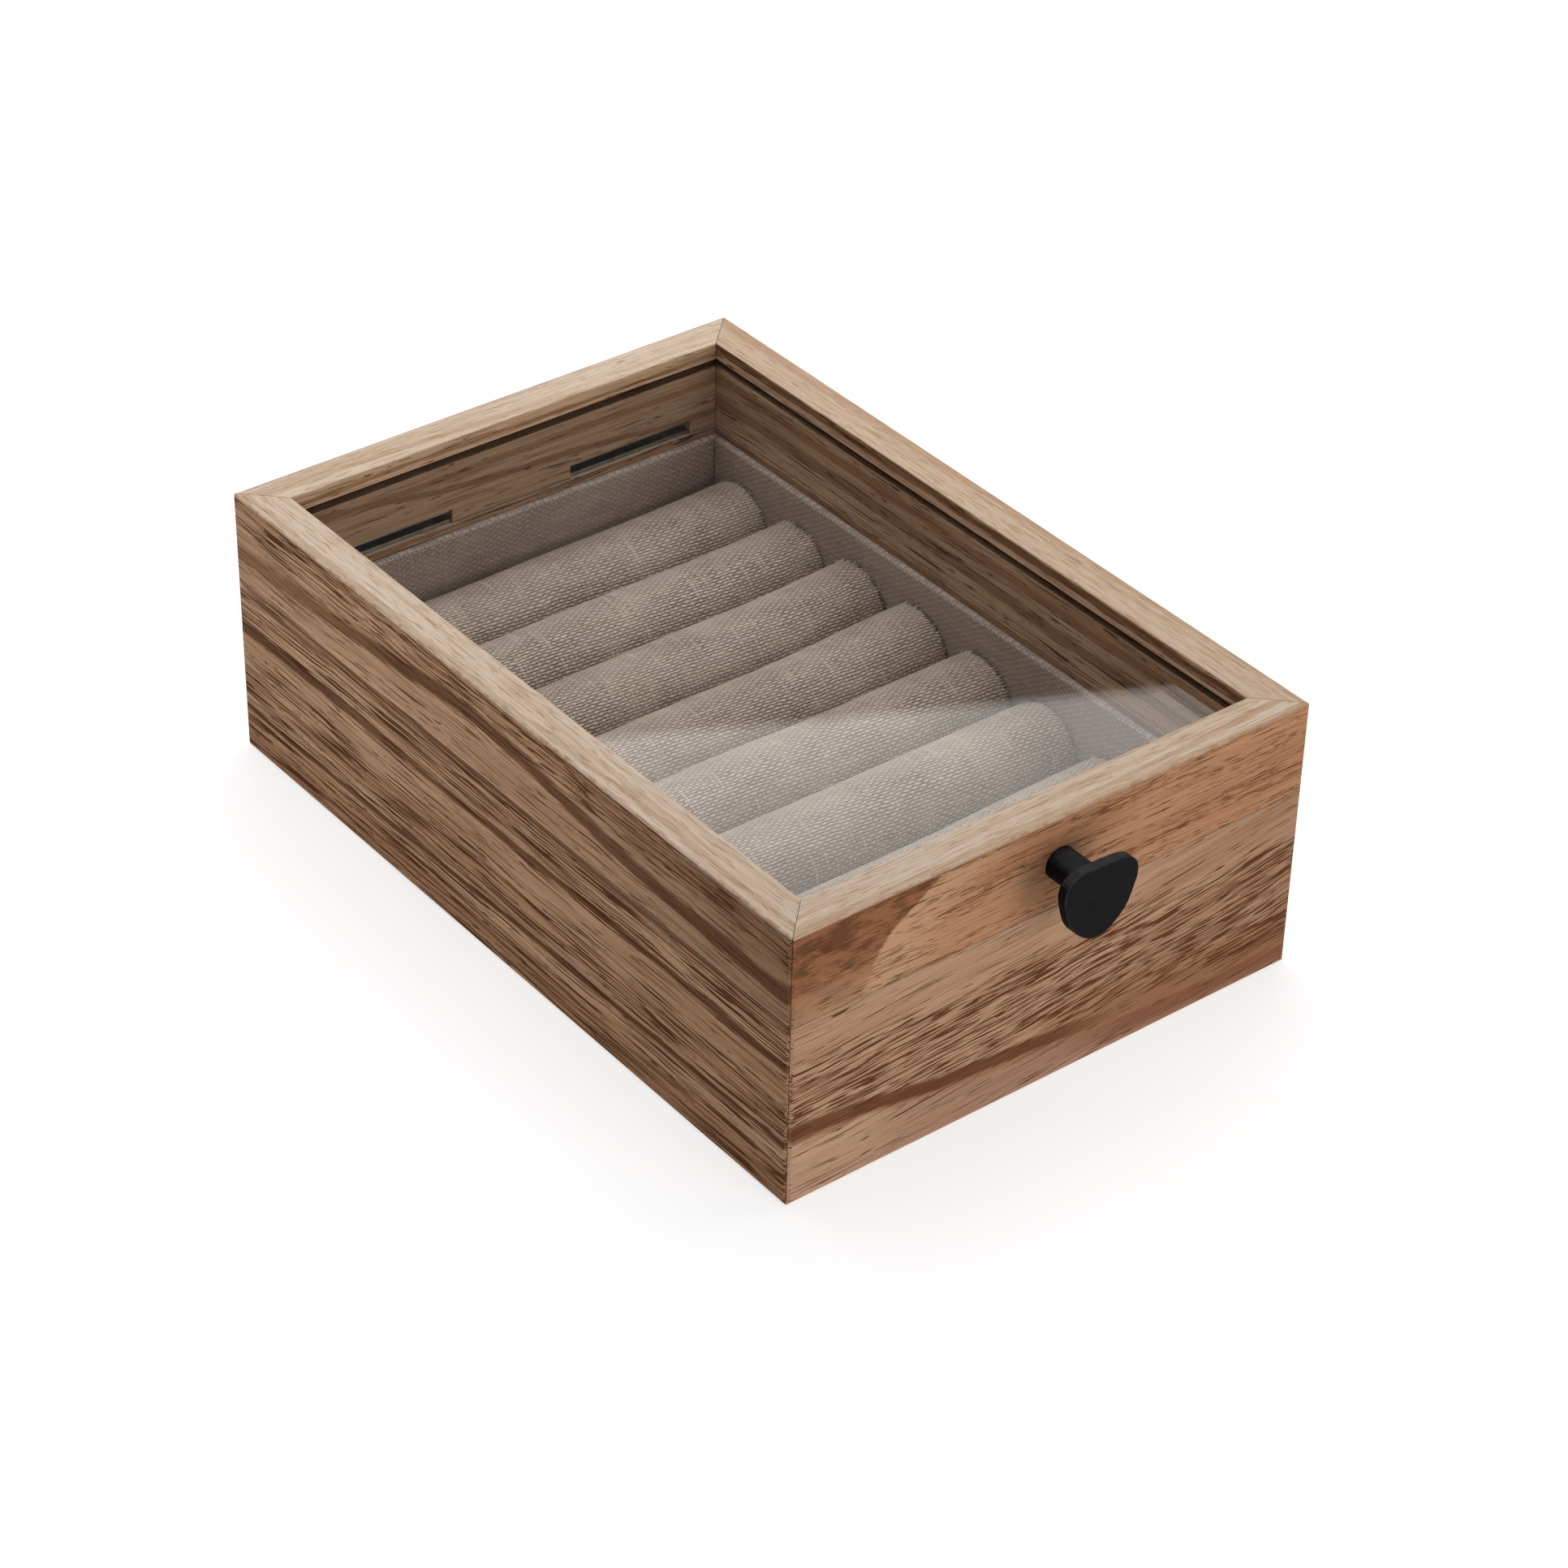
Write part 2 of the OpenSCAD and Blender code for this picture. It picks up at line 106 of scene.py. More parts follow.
class Graph:
    """A material's nodes, written as sums: each call adds a node and gives back its output."""

    def __init__(self, name):
        self.material = bpy.data.materials.new(name)
        self.material.use_nodes = True
        self.nodes = self.material.node_tree.nodes
        self.links = self.material.node_tree.links
        self.nodes.clear()
        self.output = self.nodes.new("ShaderNodeOutputMaterial")

    def put(self, socket, value):
        if isinstance(value, bpy.types.NodeSocket):
            self.links.new(value, socket)
        elif isinstance(value, tuple) and len(value) == 3 and socket.type == "RGBA":
            socket.default_value = (*value, 1.0)
        else:
            socket.default_value = value

    def add(self, kind, settings=None, **inputs):
        node = self.nodes.new(kind)
        for key, value in (settings or {}).items():
            setattr(node, key, value)
        for key, value in inputs.items():
            self.put(node.inputs[key.replace("_", " ")], value)
        return node

    def math(self, operation, *values, clamp=False):
        node = self.add("ShaderNodeMath", {"operation": operation, "use_clamp": clamp})
        for socket, value in zip(node.inputs, values):
            self.put(socket, value)
        return node.outputs[0]

    def total(self, *values):
        result = values[0]
        for value in values[1:]:
            result = self.math("ADD", result, value)
        return result

    def product(self, *values):
        result = values[0]
        for value in values[1:]:
            result = self.math("MULTIPLY", result, value)
        return result

    def blend(self, share, a, b):
        """The number a where share is 0 and b where it is 1."""
        node = self.add("ShaderNodeMix", {"data_type": "FLOAT"})
        for socket, value in zip(node.inputs[:1] + node.inputs[2:4], (share, a, b)):
            self.put(socket, value)
        return node.outputs[0]

    def paint(self, share, a, b, how="MIX"):
        """The colour a, with b laid over it by share."""
        node = self.add("ShaderNodeMix", {"data_type": "RGBA", "blend_type": how})
        self.put(node.inputs[0], share)
        self.put(node.inputs[6], a)
        self.put(node.inputs[7], b)
        return node.outputs[2]

    def step(self, value, low, high, start=0.0, end=1.0):
        """Rises smoothly from start to end while value goes from low to high."""
        kind = {"interpolation_type": "SMOOTHSTEP", "clamp": True}
        node = self.add("ShaderNodeMapRange", kind)
        for key, number in (("From Min", low), ("From Max", high), ("To Min", start), ("To Max", end)):
            self.put(node.inputs[key], number)
        self.put(node.inputs["Value"], value)
        return node.outputs[0]

    def vector(self, x, y, z):
        return self.add("ShaderNodeCombineXYZ", None, X=x, Y=y, Z=z).outputs[0]

    def split(self, vector):
        return self.add("ShaderNodeSeparateXYZ", None, Vector=vector).outputs[:3]

    def noise(self, x, y, z, detail=2.0, roughness=0.5, distortion=0.0):
        inputs = {"Detail": detail, "Roughness": roughness, "Distortion": distortion, "Scale": 1.0}
        return self.add("ShaderNodeTexNoise", None, Vector=self.vector(x, y, z), **inputs).outputs[0]

    def cells(self, places, rates, **settings):
        """Noise with so many cells a millimetre along each axis."""
        return self.noise(*(self.product(place, rate) for place, rate in zip(places, rates)), **settings)

    def ramp(self, value, limits):
        """The share of value between two limits, from 0 to 1."""
        node = self.add("ShaderNodeMapRange", {"clamp": True}, Value=value)
        node.inputs["From Min"].default_value = limits[0]
        node.inputs["From Max"].default_value = limits[1]
        return node.outputs[0]

    def curve(self, value, points):
        """A smooth line through points, of which both numbers run from 0 to 1."""
        node = self.add("ShaderNodeFloatCurve")
        line = node.mapping.curves[0]
        line.points[0].location = points[0]
        line.points[1].location = points[-1]
        for point in points[1:-1]:
            line.points.new(*point)
        node.mapping.update()
        self.put(node.inputs["Value"], value)
        return node.outputs[0]

    def places(self):
        """Object coordinates in millimetres."""
        coordinates = self.add("ShaderNodeTexCoord").outputs["Object"]
        return [self.math("MULTIPLY", part, 1 / MM) for part in self.split(coordinates)]

    def principled(self, colour, roughness, height=None, depth=0.0001, strength=1.0, **fixed):
        shader = self.add("ShaderNodeBsdfPrincipled", None, Base_Color=colour, Roughness=roughness)
        for key, value in fixed.items():
            shader.inputs[key.replace("_", " ")].default_value = value
        if height is not None:
            bump = self.add("ShaderNodeBump", None, Height=height, Distance=depth, Strength=strength)
            self.links.new(bump.outputs[0], shader.inputs["Normal"])
        self.links.new(shader.outputs[0], self.output.inputs["Surface"])
        return self.material


# Wood

# The outer limits of the case
CASE = {"x": (-71.0, 71.0), "y": (-105.0, 105.0), "z": (0.0, 70.0)}

# The groove for the glass: its heights in the lid's boards, and where it begins and ends behind the outer face
GROOVE_LOW = 62.5
GROOVE_HIGH = 66.3
GROOVE_SOFT = 0.4
GROOVE_BEGIN = (3.0, 4.0)
GROOVE_END = (9.7, 9.9)

# Layers of the grain: length and thickness of their marks in millimetres, offset, detail and roughness
LAYERS = {
    "tone": (70.0, 7.0, 1.7, 2.0, 0.5),
    "streak": (50.0, 0.9, 5.3, 2.0, 0.5),
    "fibre": (24.0, 0.32, 9.1, 1.0, 0.6),
    "line": (24.0, 0.42, 17.9, 1.0, 0.5),
    "crowd": (34.0, 2.6, 21.3, 2.0, 0.5),
    "feather": (9.0, 0.55, 27.7, 2.0, 0.5),
    "top_tone": (80.0, 2.2, 31.0, 2.0, 0.5),
    "top_speck": (7.0, 0.34, 37.0, 1.0, 0.5),
}
DASH_OFFSET = 13.7
FEATHER_REACH = 6.0

# How sharply a pore begins, how deep the grain is and how much it shines
PORE_EDGE = 0.04
GRAIN_DEPTH = 0.00018
WOOD_SPECULAR = 0.05


def share_of(value, limits):
    return (value - limits[0]) / (limits[1] - limits[0])


class Band:
    """
    A brown band of the grain. The points give its middle, as (place along the board, height) in millimetres.
    It reaches so far above and below its middle, and fades beyond that over soft_above and soft_below.
    """

    def __init__(self, points, above, below, soft_above, soft_below, strength, ragged=0.6, fade=None):
        self.points = points
        self.above = above
        self.below = below
        self.soft_above = soft_above
        self.soft_below = soft_below
        self.strength = strength
        self.ragged = ragged
        self.fade = fade

    def mask(self, cut, height):
        graph = cut.graph
        share = graph.ramp(cut.along, cut.limits)
        points = [(share_of(u, cut.limits), share_of(z, CASE["z"])) for u, z in sorted(self.points)]
        middle = graph.math("MULTIPLY", graph.curve(share, points), CASE["z"][1])
        off = graph.math("SUBTRACT", height, middle)
        off = graph.math("MULTIPLY_ADD", cut.rag, self.ragged, off)
        over = graph.step(off, self.above, self.above + self.soft_above, 1.0, 0.0)
        under = graph.step(off, -self.below - self.soft_below, -self.below)
        mask = graph.product(over, under, self.strength)
        if self.fade is not None:
            mask = graph.product(mask, graph.step(cut.along, *self.fade))
        return mask


class Board:
    """How one board's grain looks. dash and line say how many short and long pores show, and crowd where."""

    def __init__(self, axis, seed, pale, tan, brown, **other):
        self.axis = axis
        self.seed = seed
        self.pale = pale
        self.tan = tan
        self.brown = brown
        self.bands = ()
        self.top_bands = ()
        self.stains = ()
        self.slant = 0.0
        self.bow = 0.0
        self.edge = 0.0
        self.sway = 2.4
        self.dash = 0.5
        self.dash_size = (6.0, 0.55)
        self.dash_dark = 0.85
        self.line = 0.6
        self.crowd = None
        self.crowd_zone = None
        self.even = 0.5
        self.shade = None
        self.patch = None
        self.pink = None
        self.__dict__.update(other)


class Cut:
    """Where a point of a board lies, and the grain there. along runs with the grain, depth across it."""

    def __init__(self, graph, board):
        self.graph = graph
        self.board = board
        self.x, self.y, self.z = graph.places()
        self.along, self.depth = (self.x, self.y) if board.axis == "x" else (self.y, self.x)
        self.limits = CASE[board.axis]
        outer = CASE["y" if board.axis == "x" else "x"][1]
        self.from_outside = graph.math("SUBTRACT", outer, graph.math("ABSOLUTE", self.depth))
        self.normal = graph.split(graph.add("ShaderNodeTexCoord").outputs["Normal"])
        self.groove = self.groove_mask()
        not_groove = graph.math("SUBTRACT", 1.0, self.groove)
        self.top = graph.product(graph.step(self.normal[2], 0.45, 0.85), not_groove)
        self.not_top = graph.math("SUBTRACT", 1.0, self.top)
        self.height = self.bent_height()
        self.fibre = self.layer("fibre")
        self.rag = graph.product(graph.math("SUBTRACT", self.layer("feather"), 0.5), FEATHER_REACH)

    def groove_mask(self):
        step = self.graph.step
        bottom = step(self.z, GROOVE_LOW, GROOVE_LOW + GROOVE_SOFT)
        top = step(self.z, GROOVE_HIGH - GROOVE_SOFT, GROOVE_HIGH, 1.0, 0.0)
        begin = step(self.from_outside, *GROOVE_BEGIN)
        end = step(self.from_outside, *GROOVE_END, 1.0, 0.0)
        return self.graph.product(bottom, top, end, begin)

    def bent_height(self):
        """Fibres wander a little, so every pattern is read at a bent height."""
        graph, board = self.graph, self.board
        height = self.z
        for length, thick, seed, reach in ((45, 18, board.seed, board.sway), (11, 6, board.seed + 3.1, 0.6)):
            parts = (graph.product(self.along, 1 / length), graph.product(self.z, 1 / thick))
            wander = graph.noise(*parts, seed, detail=1.0)
            height = graph.total(height, graph.product(graph.math("SUBTRACT", wander, 0.5), reach))
        if board.slant:
            slope = graph.math("MULTIPLY_ADD", self.along, -board.bow, -board.slant)
            height = graph.math("MULTIPLY_ADD", self.along, slope, height)
        return height

    def grain(self, length, thick, offset, detail, roughness=0.5):
        graph = self.graph
        parts = (graph.product(self.along, 1 / length), graph.product(self.height, 1 / thick))
        deep = graph.math("MULTIPLY_ADD", self.depth, 1 / thick, self.board.seed + offset)
        return graph.noise(*parts, deep, detail=detail, roughness=roughness)

    def layer(self, name):
        return self.grain(*LAYERS[name])

    def darkest(self, bands, height):
        """All the bands in one mask."""
        masks = [band.mask(self, height) for band in bands]
        result = masks[0]
        for mask in masks[1:]:
            result = self.graph.math("MAXIMUM", result, mask)
        return result


def plain_wood(cut):
    """Pale wood with tan streaks and fine fibres."""
    graph, board = cut.graph, cut.board
    colour = graph.paint(graph.step(cut.layer("tone"), 0.40, 0.72, 0.0, board.even), board.pale, board.tan)
    colour = graph.paint(graph.step(cut.layer("streak"), 0.46, 0.66, 0.0, 0.45), colour, board.tan)
    if board.pink is not None:
        colour = graph.paint(board.pink(cut), colour, BASE_PINK)
    colour = graph.paint(graph.step(cut.fibre, 0.48, 0.72, 0.0, 0.45), colour, board.brown)
    return graph.paint(graph.step(cut.fibre, 0.30, 0.46, 0.4, 0.0), colour, board.pale)


def with_bands(cut, colour):
    """Stains, and bands with a tan halo and feathered, streaky rims."""
    graph, board = cut.graph, cut.board
    for stain in board.stains:
        mask = graph.product(stain.mask(cut, cut.z), cut.not_top, graph.step(cut.fibre, 0.25, 0.60, 0.75, 1.0))
        colour = graph.paint(mask, colour, STAIN)
    if board.bands:
        dark = graph.product(cut.darkest(board.bands, cut.z), cut.not_top)
        colour = graph.paint(graph.step(dark, 0.0, 0.4, 0.0, 0.85), colour, board.tan)
        grit = graph.step(graph.total(cut.fibre, graph.product(dark, 0.4)), 0.50, 0.90)
        core = graph.product(graph.step(dark, 0.2, 0.9), graph.blend(0.5, grit, 1.0))
        colour = graph.paint(graph.product(core, 0.86), colour, board.brown)
    return colour


def with_heartwood(cut, colour):
    """The mottled heartwood with its pale rim, and the wood that darkens along the board."""
    graph, board = cut.graph, cut.board
    if board.patch is not None:
        mask, rim = board.patch(cut)
        colour = graph.paint(graph.product(rim, cut.not_top, 0.85), colour, RIM_PALE)
        parts = (graph.product(cut.along, 1 / 11), graph.product(cut.z, 1 / 4))
        mottle = graph.noise(*parts, board.seed + 41.0, detail=4.0, roughness=0.65)
        heart = graph.paint(graph.step(mottle, 0.42, 0.60), HEARTWOOD, HEART_DARK)
        colour = graph.paint(graph.product(mask, cut.not_top), colour, heart)
    if board.shade is not None:
        mask = graph.product(graph.step(cut.along, *board.shade), cut.not_top)
        colour = graph.paint(mask, colour, board.brown)
    return colour


def pore_mask(cut):
    """Short dark dashes where the wood is open, and long fine lines between."""
    graph, board = cut.graph, cut.board
    crowd = graph.step(cut.layer("crowd"), 0.35, 0.65)
    if board.crowd is not None:
        points = [(share_of(height, CASE["z"]), share) for height, share in board.crowd]
        crowd = graph.blend(0.72, crowd, graph.curve(graph.product(cut.height, 1 / CASE["z"][1]), points))
    if board.crowd_zone is not None:
        crowd = graph.blend(0.75, crowd, board.crowd_zone(cut))
    dash = cut.grain(*board.dash_size, DASH_OFFSET, 1.0)
    dash_from = graph.blend(crowd, 0.70, 0.70 - 0.16 * board.dash)
    dashes = graph.step(graph.math("SUBTRACT", dash, dash_from), 0.0, PORE_EDGE)
    line_from = graph.blend(crowd, 0.67, 0.67 - 0.13 * board.line)
    lines = graph.step(graph.math("SUBTRACT", cut.layer("line"), line_from), 0.0, PORE_EDGE)
    return graph.math("MAXIMUM", graph.product(dashes, board.dash_dark), graph.product(lines, 0.94))


def pale_top_and_sheen(cut):
    """The top edges are paler, partly the planed wood's own colour and partly painted sheen from the light
    above, with thin tan dashes.
    """
    graph, board = cut.graph, cut.board
    tone = graph.total(graph.step(cut.layer("top_tone"), 0.46, 0.68, 0.0, 0.45), board.edge)
    colour = graph.paint(tone, EDGE_PALE, EDGE_TAN)
    if board.top_bands:
        colour = graph.paint(cut.darkest(board.top_bands, cut.from_outside), colour, EDGE_TAN)
    specks = graph.step(cut.layer("top_speck"), 0.58, 0.64)
    colour = graph.paint(graph.product(specks, 0.50), colour, SIDE_TAN)
    return graph.paint(graph.step(cut.fibre, 0.46, 0.72, 0.0, 0.32), colour, SIDE_TAN)


def rubbed_arrises(cut):
    """The rounded arrises are rubbed darker here and there."""
    graph = cut.graph
    facing = [graph.math("ABSOLUTE", part) for part in cut.normal]
    flat = graph.math("MAXIMUM", graph.math("MAXIMUM", facing[0], facing[1]), facing[2])
    rub = graph.cells((cut.x, cut.y, cut.z), (1 / 2.4, 1 / 2.4, 1 / 2.4), detail=3.0)
    return graph.product(graph.step(flat, 0.93, 0.98, 1.0, 0.0), graph.step(rub, 0.46, 0.66, 0.10, 0.50))


def wood(name, board):
    """Brushed wood with its grain along one axis."""
    graph = Graph(name)
    cut = Cut(graph, board)
    colour = with_heartwood(cut, with_bands(cut, plain_wood(cut)))
    pores = pore_mask(cut)
    side = graph.paint(pores, colour, board.brown)
    # Painted shade: the faces inside the glass groove are darkened brown, standing in for the shadow in the
    # groove
    side = graph.paint(graph.product(cut.groove, 0.6), side, SIDE_BROWN)
    # The top faces get the paler top colour: partly the wood's own, partly painted sheen
    colour = graph.paint(cut.top, side, pale_top_and_sheen(cut))
    colour = graph.paint(rubbed_arrises(cut), colour, board.tan)
    rough = graph.blend(pores, 0.60, 0.82)
    relief = graph.total(graph.product(cut.fibre, 0.45), graph.product(pores, -0.8))
    return graph.principled(colour, rough, relief, GRAIN_DEPTH, 0.5, Specular_IOR_Level=WOOD_SPECULAR)


# The curved rim of the heartwood in the lid's front board, as (height, place along the board)
HEART_RIM = (
    (47.0, -52.5), (50.5, -51.0), (55.0, -49.0), (59.0, -46.5), (62.5, -42.5), (66.0, -37.0), (70.0, -31.5),
)


def front_patch(cut):
    """The heartwood in the left third of the lid's front board, and the curved pale rim beside it."""
    graph = cut.graph
    heights = (HEART_RIM[0][0], HEART_RIM[-1][0])
    points = [(share_of(height, heights), share_of(x, CASE["x"])) for height, x in HEART_RIM]
    width = CASE["x"][1] - CASE["x"][0]
    rim = graph.math("MULTIPLY_ADD", graph.curve(graph.ramp(cut.z, heights), points), width, CASE["x"][0])
    inside = graph.math("MULTIPLY_ADD", cut.rag, 0.35, graph.math("SUBTRACT", rim, cut.along))
    patch = graph.product(graph.step(inside, -0.6, 0.8), graph.step(cut.z, 47.5, 60.0, 0.35, 0.90))
    return patch, graph.step(inside, -24.0, -6.0)


def front_dashes(cut):
    """How crowded the dark dashes are on the base's front board."""
    low = cut.graph.math("MULTIPLY_ADD", cut.along, -0.09, 14.0)
    rise = cut.graph.step(cut.graph.math("SUBTRACT", cut.z, low), -3.0, 2.0)
    return cut.graph.product(rise, cut.graph.step(cut.z, 32.0, 39.0, 1.0, 0.0))


def front_pink(cut):
    """The paler, pinker wood below the stripe of the base's front board."""
    low = cut.graph.math("MULTIPLY_ADD", cut.along, -0.10, 10.5)
    return cut.graph.product(cut.graph.step(cut.graph.math("SUBTRACT", cut.z, low), 0.0, 5.0, 1.0, 0.0), 0.8)


# The bands of each board, the stains of the base's front board and the tan lines in the lid's top edges
LEFT_LID = [
    Band([(105, 54.8), (69, 56.6), (41, 58.8), (19, 61.2), (5, 61.6), (-9, 60.8), (-31, 58.2), (-52, 56.2),
          (-81, 55.0), (-105, 54.9)], 1.5, 1.3, 1.8, 1.0, 0.74, 0.6, fade=(95, 35, 0.62, 1.0)),
    Band([(105, 69.0), (-40, 68.0), (-60, 66.0), (-105, 63.5)], 2.0, 1.5, 3.0, 3.0, 0.22, 0.9),
    Band([(105, 47.2), (0, 47.2), (-105, 47.2)], 0.25, 0.3, 0.25, 0.3, 0.95, 0.05, fade=(45, 25, 0.25, 1.0)),
]
LEFT_BASE = [
    Band([(105, 35.0), (62, 35.6), (19, 35.2), (-9, 35.7), (-52, 36.8), (-105, 36.4)],
         0.6, 0.7, 0.7, 0.7, 0.75, 0.3),
    Band([(105, 34.6), (62, 35.4), (19, 35.2), (-105, 36.4)], 1.2, 1.3, 0.9, 0.9, 0.85, 0.35,
         fade=(70, 10, 1.0, 0.0)),
    Band([(105, 12.1), (62, 12.6), (19, 14.0), (-17, 15.0), (-38, 15.4), (-66, 16.0), (-105, 16.4)],
         0.3, 0.4, 0.5, 1.2, 0.85, 0.25),
    Band([(105, 47.0), (0, 47.0), (-105, 47.0)], 0.3, 0.35, 0.3, 0.4, 0.95, 0.05, fade=(45, 25, 0.25, 1.0)),
    Band([(105, 45.0), (40, 45.6), (-105, 46.0)], 0.4, 0.5, 0.6, 1.6, 0.35, 0.5),
    # This band makes the board darker towards the bottom
    Band([(105, 2.0), (0, 3.0), (-105, 4.0)], 3.0, 4.0, 7.0, 2.0, 0.30, 0.9),
    Band([(105, 20.0), (30, 21.0), (-105, 23.0)], 1.2, 2.0, 4.0, 3.0, 0.16, 0.9),
]
RIGHT_LID = [
    Band([(105, 60.5), (30, 60.4), (-40, 59.8), (-105, 59.5)], 0.6, 0.8, 1.2, 1.6, 0.46, 0.5),
    Band([(105, 54.2), (30, 54.5), (-40, 53.4), (-105, 53.0)], 1.1, 1.1, 1.2, 1.2, 0.50, 0.5),
    Band([(105, 68.9), (30, 68.6), (-105, 68.0)], 0.8, 0.6, 1.2, 1.0, 0.70, 0.5),
]
RIGHT_BASE = [
    Band([(105, 45.8), (0, 45.9), (-105, 46.0)], 0.4, 0.6, 0.6, 1.0, 0.45, 0.3),
    Band([(105, 33.0), (20, 31.0), (-105, 28.0)], 1.0, 1.0, 1.2, 1.6, 0.75, 0.5),
    Band([(105, 14.0), (0, 16.0), (-105, 12.0)], 0.8, 0.8, 1.2, 1.2, 0.70, 0.4),
]
REAR_LID = [
    Band([(-71, 62.5), (-46, 61.0), (-21, 57.3), (4, 55.2), (24, 54.2), (44, 52.0), (71, 51.0)],
         0.5, 0.4, 0.5, 0.9, 0.46, 0.35),
    Band([(-71, 67.2), (-20, 67.6), (20, 67.0), (71, 67.3)], 0.3, 0.3, 0.5, 0.6, 0.50, 0.3),
    Band([(-71, 60.6), (10, 60.2), (71, 59.6)], 0.4, 0.4, 1.0, 1.4, 0.35, 0.4),
]
REAR_BASE = [
    Band([(-71, 46.4), (0, 46.2), (71, 46.5)], 0.3, 0.4, 0.5, 0.6, 0.40, 0.3),
    Band([(-71, 30.0), (-10, 27.0), (71, 24.0)], 1.0, 1.0, 1.2, 2.0, 0.70, 0.5),
    Band([(-71, 12.0), (10, 15.0), (71, 14.0)], 0.7, 0.7, 1.0, 1.4, 0.65, 0.4),
]
FRONT_BASE = [
    Band([(-71, 19.2), (-61, 18.6), (-51, 17.6), (-41, 15.9), (-31, 14.2), (-21, 13.3), (-11, 12.5), (0, 11.6),
          (14, 10.2), (29, 9.0), (71, 8.0)], 0.9, 1.2, 1.4, 2.2, 0.92, 0.45, fade=(-10, 30, 1.0, 0.45)),
    Band([(-71, 26.0), (0, 17.0), (71, 13.0)], 1.5, 2.0, 3.0, 3.0, 0.30, 1.2, fade=(-30, 20, 0.0, 1.0)),
]
FRONT_STAINS = [
    Band([(-71, 18.4), (-51, 16.8), (-31, 13.4), (-11, 11.6), (9, 10.0), (29, 8.8), (71, 8.0)],
         1.0, 1.0, 1.8, 2.2, 0.80, 0.4),
    Band([(-71, 8.0), (0, 4.0), (71, 4.0)], 5.0, 5.0, 3.0, 3.0, 0.38, 0.5, fade=(-62, -28, 0.0, 1.0)),
    Band([(-20, 11.0), (9, 9.0), (29, 7.6), (71, 7.0)], 3.6, 3.6, 4.5, 4.0, 0.96, 0.5,
         fade=(-12, 30, 0.0, 1.0)),
]
REAR_TOP = [
    Band([(-71, 5.8), (-55, 5.6), (-20, 7.0), (10, 8.7), (25, 10.5), (71, 15.0)],
         0.6, 0.6, 0.7, 0.7, 0.5, 0.2),
]
RIGHT_TOP = [Band([(105, 2.6), (40, 2.0), (0, 1.2), (-105, 0.6)], 0.8, 0.8, 1.2, 1.6, 0.7, 0.4)]
LEFT_TOP = [Band([(105, 2.2), (0, 1.8), (-60, 3.4), (-105, 3.0)], 0.3, 0.3, 0.7, 0.7, 0.6, 0.3)]
FRONT_TOP = [
    Band([(-71, 1.6), (0, 2.4), (71, 5.6)], 0.3, 0.3, 0.9, 0.9, 0.6, 0.3),
    Band([(-71, 2.4), (20, 1.0), (71, 1.0)], 0.3, 0.3, 0.8, 0.8, 0.5, 0.3),
]

# Where along the height the pores crowd, as (height, share)
LID_CROWD = ((0.0, 0.5), (47.0, 0.5), (49.0, 0.2), (57.0, 0.2), (61.0, 0.55), (64.0, 1.0), (70.0, 1.0))
BASE_CROWD = (
    (0.0, 0.9), (9.0, 0.9), (12.0, 0.7), (16.5, 1.0), (26.0, 0.85), (29.0, 0.25), (33.0, 0.25), (37.0, 0.9),
    (45.0, 1.0), (70.0, 0.8),
)


def wood_boards():
    """The look of each of the eight boards, by its node's name."""
    side = {"axis": "y", "pale": SIDE_PALE, "tan": SIDE_TAN, "brown": SIDE_BROWN}
    inner = {"axis": "y", "pale": INNER_PALE, "tan": INNER_TAN, "brown": SIDE_BROWN}
    cross = {**inner, "axis": "x"}
    lid_front = {"axis": "x", "pale": LID_PALE, "tan": LID_TAN, "brown": FRONT_BROWN}
    base_front = {"axis": "x", "pale": BASE_PALE, "tan": BASE_TAN, "brown": FRONT_BROWN}
    return {
        "lid_left_board": Board(
            seed=11.0, bands=LEFT_LID, top_bands=LEFT_TOP, dash=0.88, dash_size=(7.5, 0.42), line=1.08,
            crowd=LID_CROWD, shade=(0.0, -100.0, 0.0, 0.52), **side),
        "base_left_board": Board(
            seed=23.0, bands=LEFT_BASE, dash=0.22, line=1.48, crowd=BASE_CROWD, sway=1.6,
            shade=(60.0, -60.0, 0.0, 0.14), **side),
        "lid_right_board": Board(
            seed=37.0, bands=RIGHT_LID, top_bands=RIGHT_TOP, dash=0.4, line=0.6, edge=0.40, **inner),
        "base_right_board": Board(seed=41.0, bands=RIGHT_BASE, dash=0.3, line=0.8, **inner),
        "lid_rear_board": Board(
            seed=53.0, bands=REAR_LID, top_bands=REAR_TOP, dash=0.1, line=0.15, even=0.32,
            shade=(-71.0, 71.0, 0.06, 0.10), **cross),
        "base_rear_board": Board(seed=61.0, bands=REAR_BASE, dash=0.3, line=0.8, **cross),
        "lid_front_board": Board(
            seed=71.0, patch=front_patch, top_bands=FRONT_TOP, dash=1.20, dash_size=(4.6, 0.34),
            dash_dark=0.66, line=0.25, edge=0.10, **lid_front),
        "base_front_board": Board(
            seed=83.0, bands=FRONT_BASE, stains=FRONT_STAINS, slant=0.085, bow=0.0004, sway=3.0, dash=1.32,
            dash_size=(9.0, 0.40), dash_dark=0.94, line=0.60, crowd_zone=front_dashes,
            shade=(-10.0, 90.0, 0.0, 0.16), pink=front_pink, **base_front),
    }


# Cloth

# Spacing in millimetres of the threads that cross the cloth's width, and of those that run along it
THREAD_U = 1.19
THREAD_V = 0.75
THREAD_SKEW = 0.06
WARP_SHARE = 0.55
LINEN = (0.74, 0.602, 0.502)
# Painted shade: this dark colour fills the gaps between the threads of the rolls' linen
LINEN_GAP_SHADE = (0.15, 0.100, 0.072)
LINEN_LIGHT = (0.86, 0.73, 0.61)
LINEN_DEPTH = 0.00030
LINING = (0.64, 0.510, 0.445)
# Painted shade: this dark colour fills the gaps between the threads of the lining
LINING_GAP_SHADE = (0.36, 0.280, 0.235)
LINING_LIGHT = (0.70, 0.60, 0.53)
LINING_RIM = (0.70, 0.62, 0.55)
LINING_RIM_FROM = (44.1, 44.5)
LINING_DEPTH = 0.00016


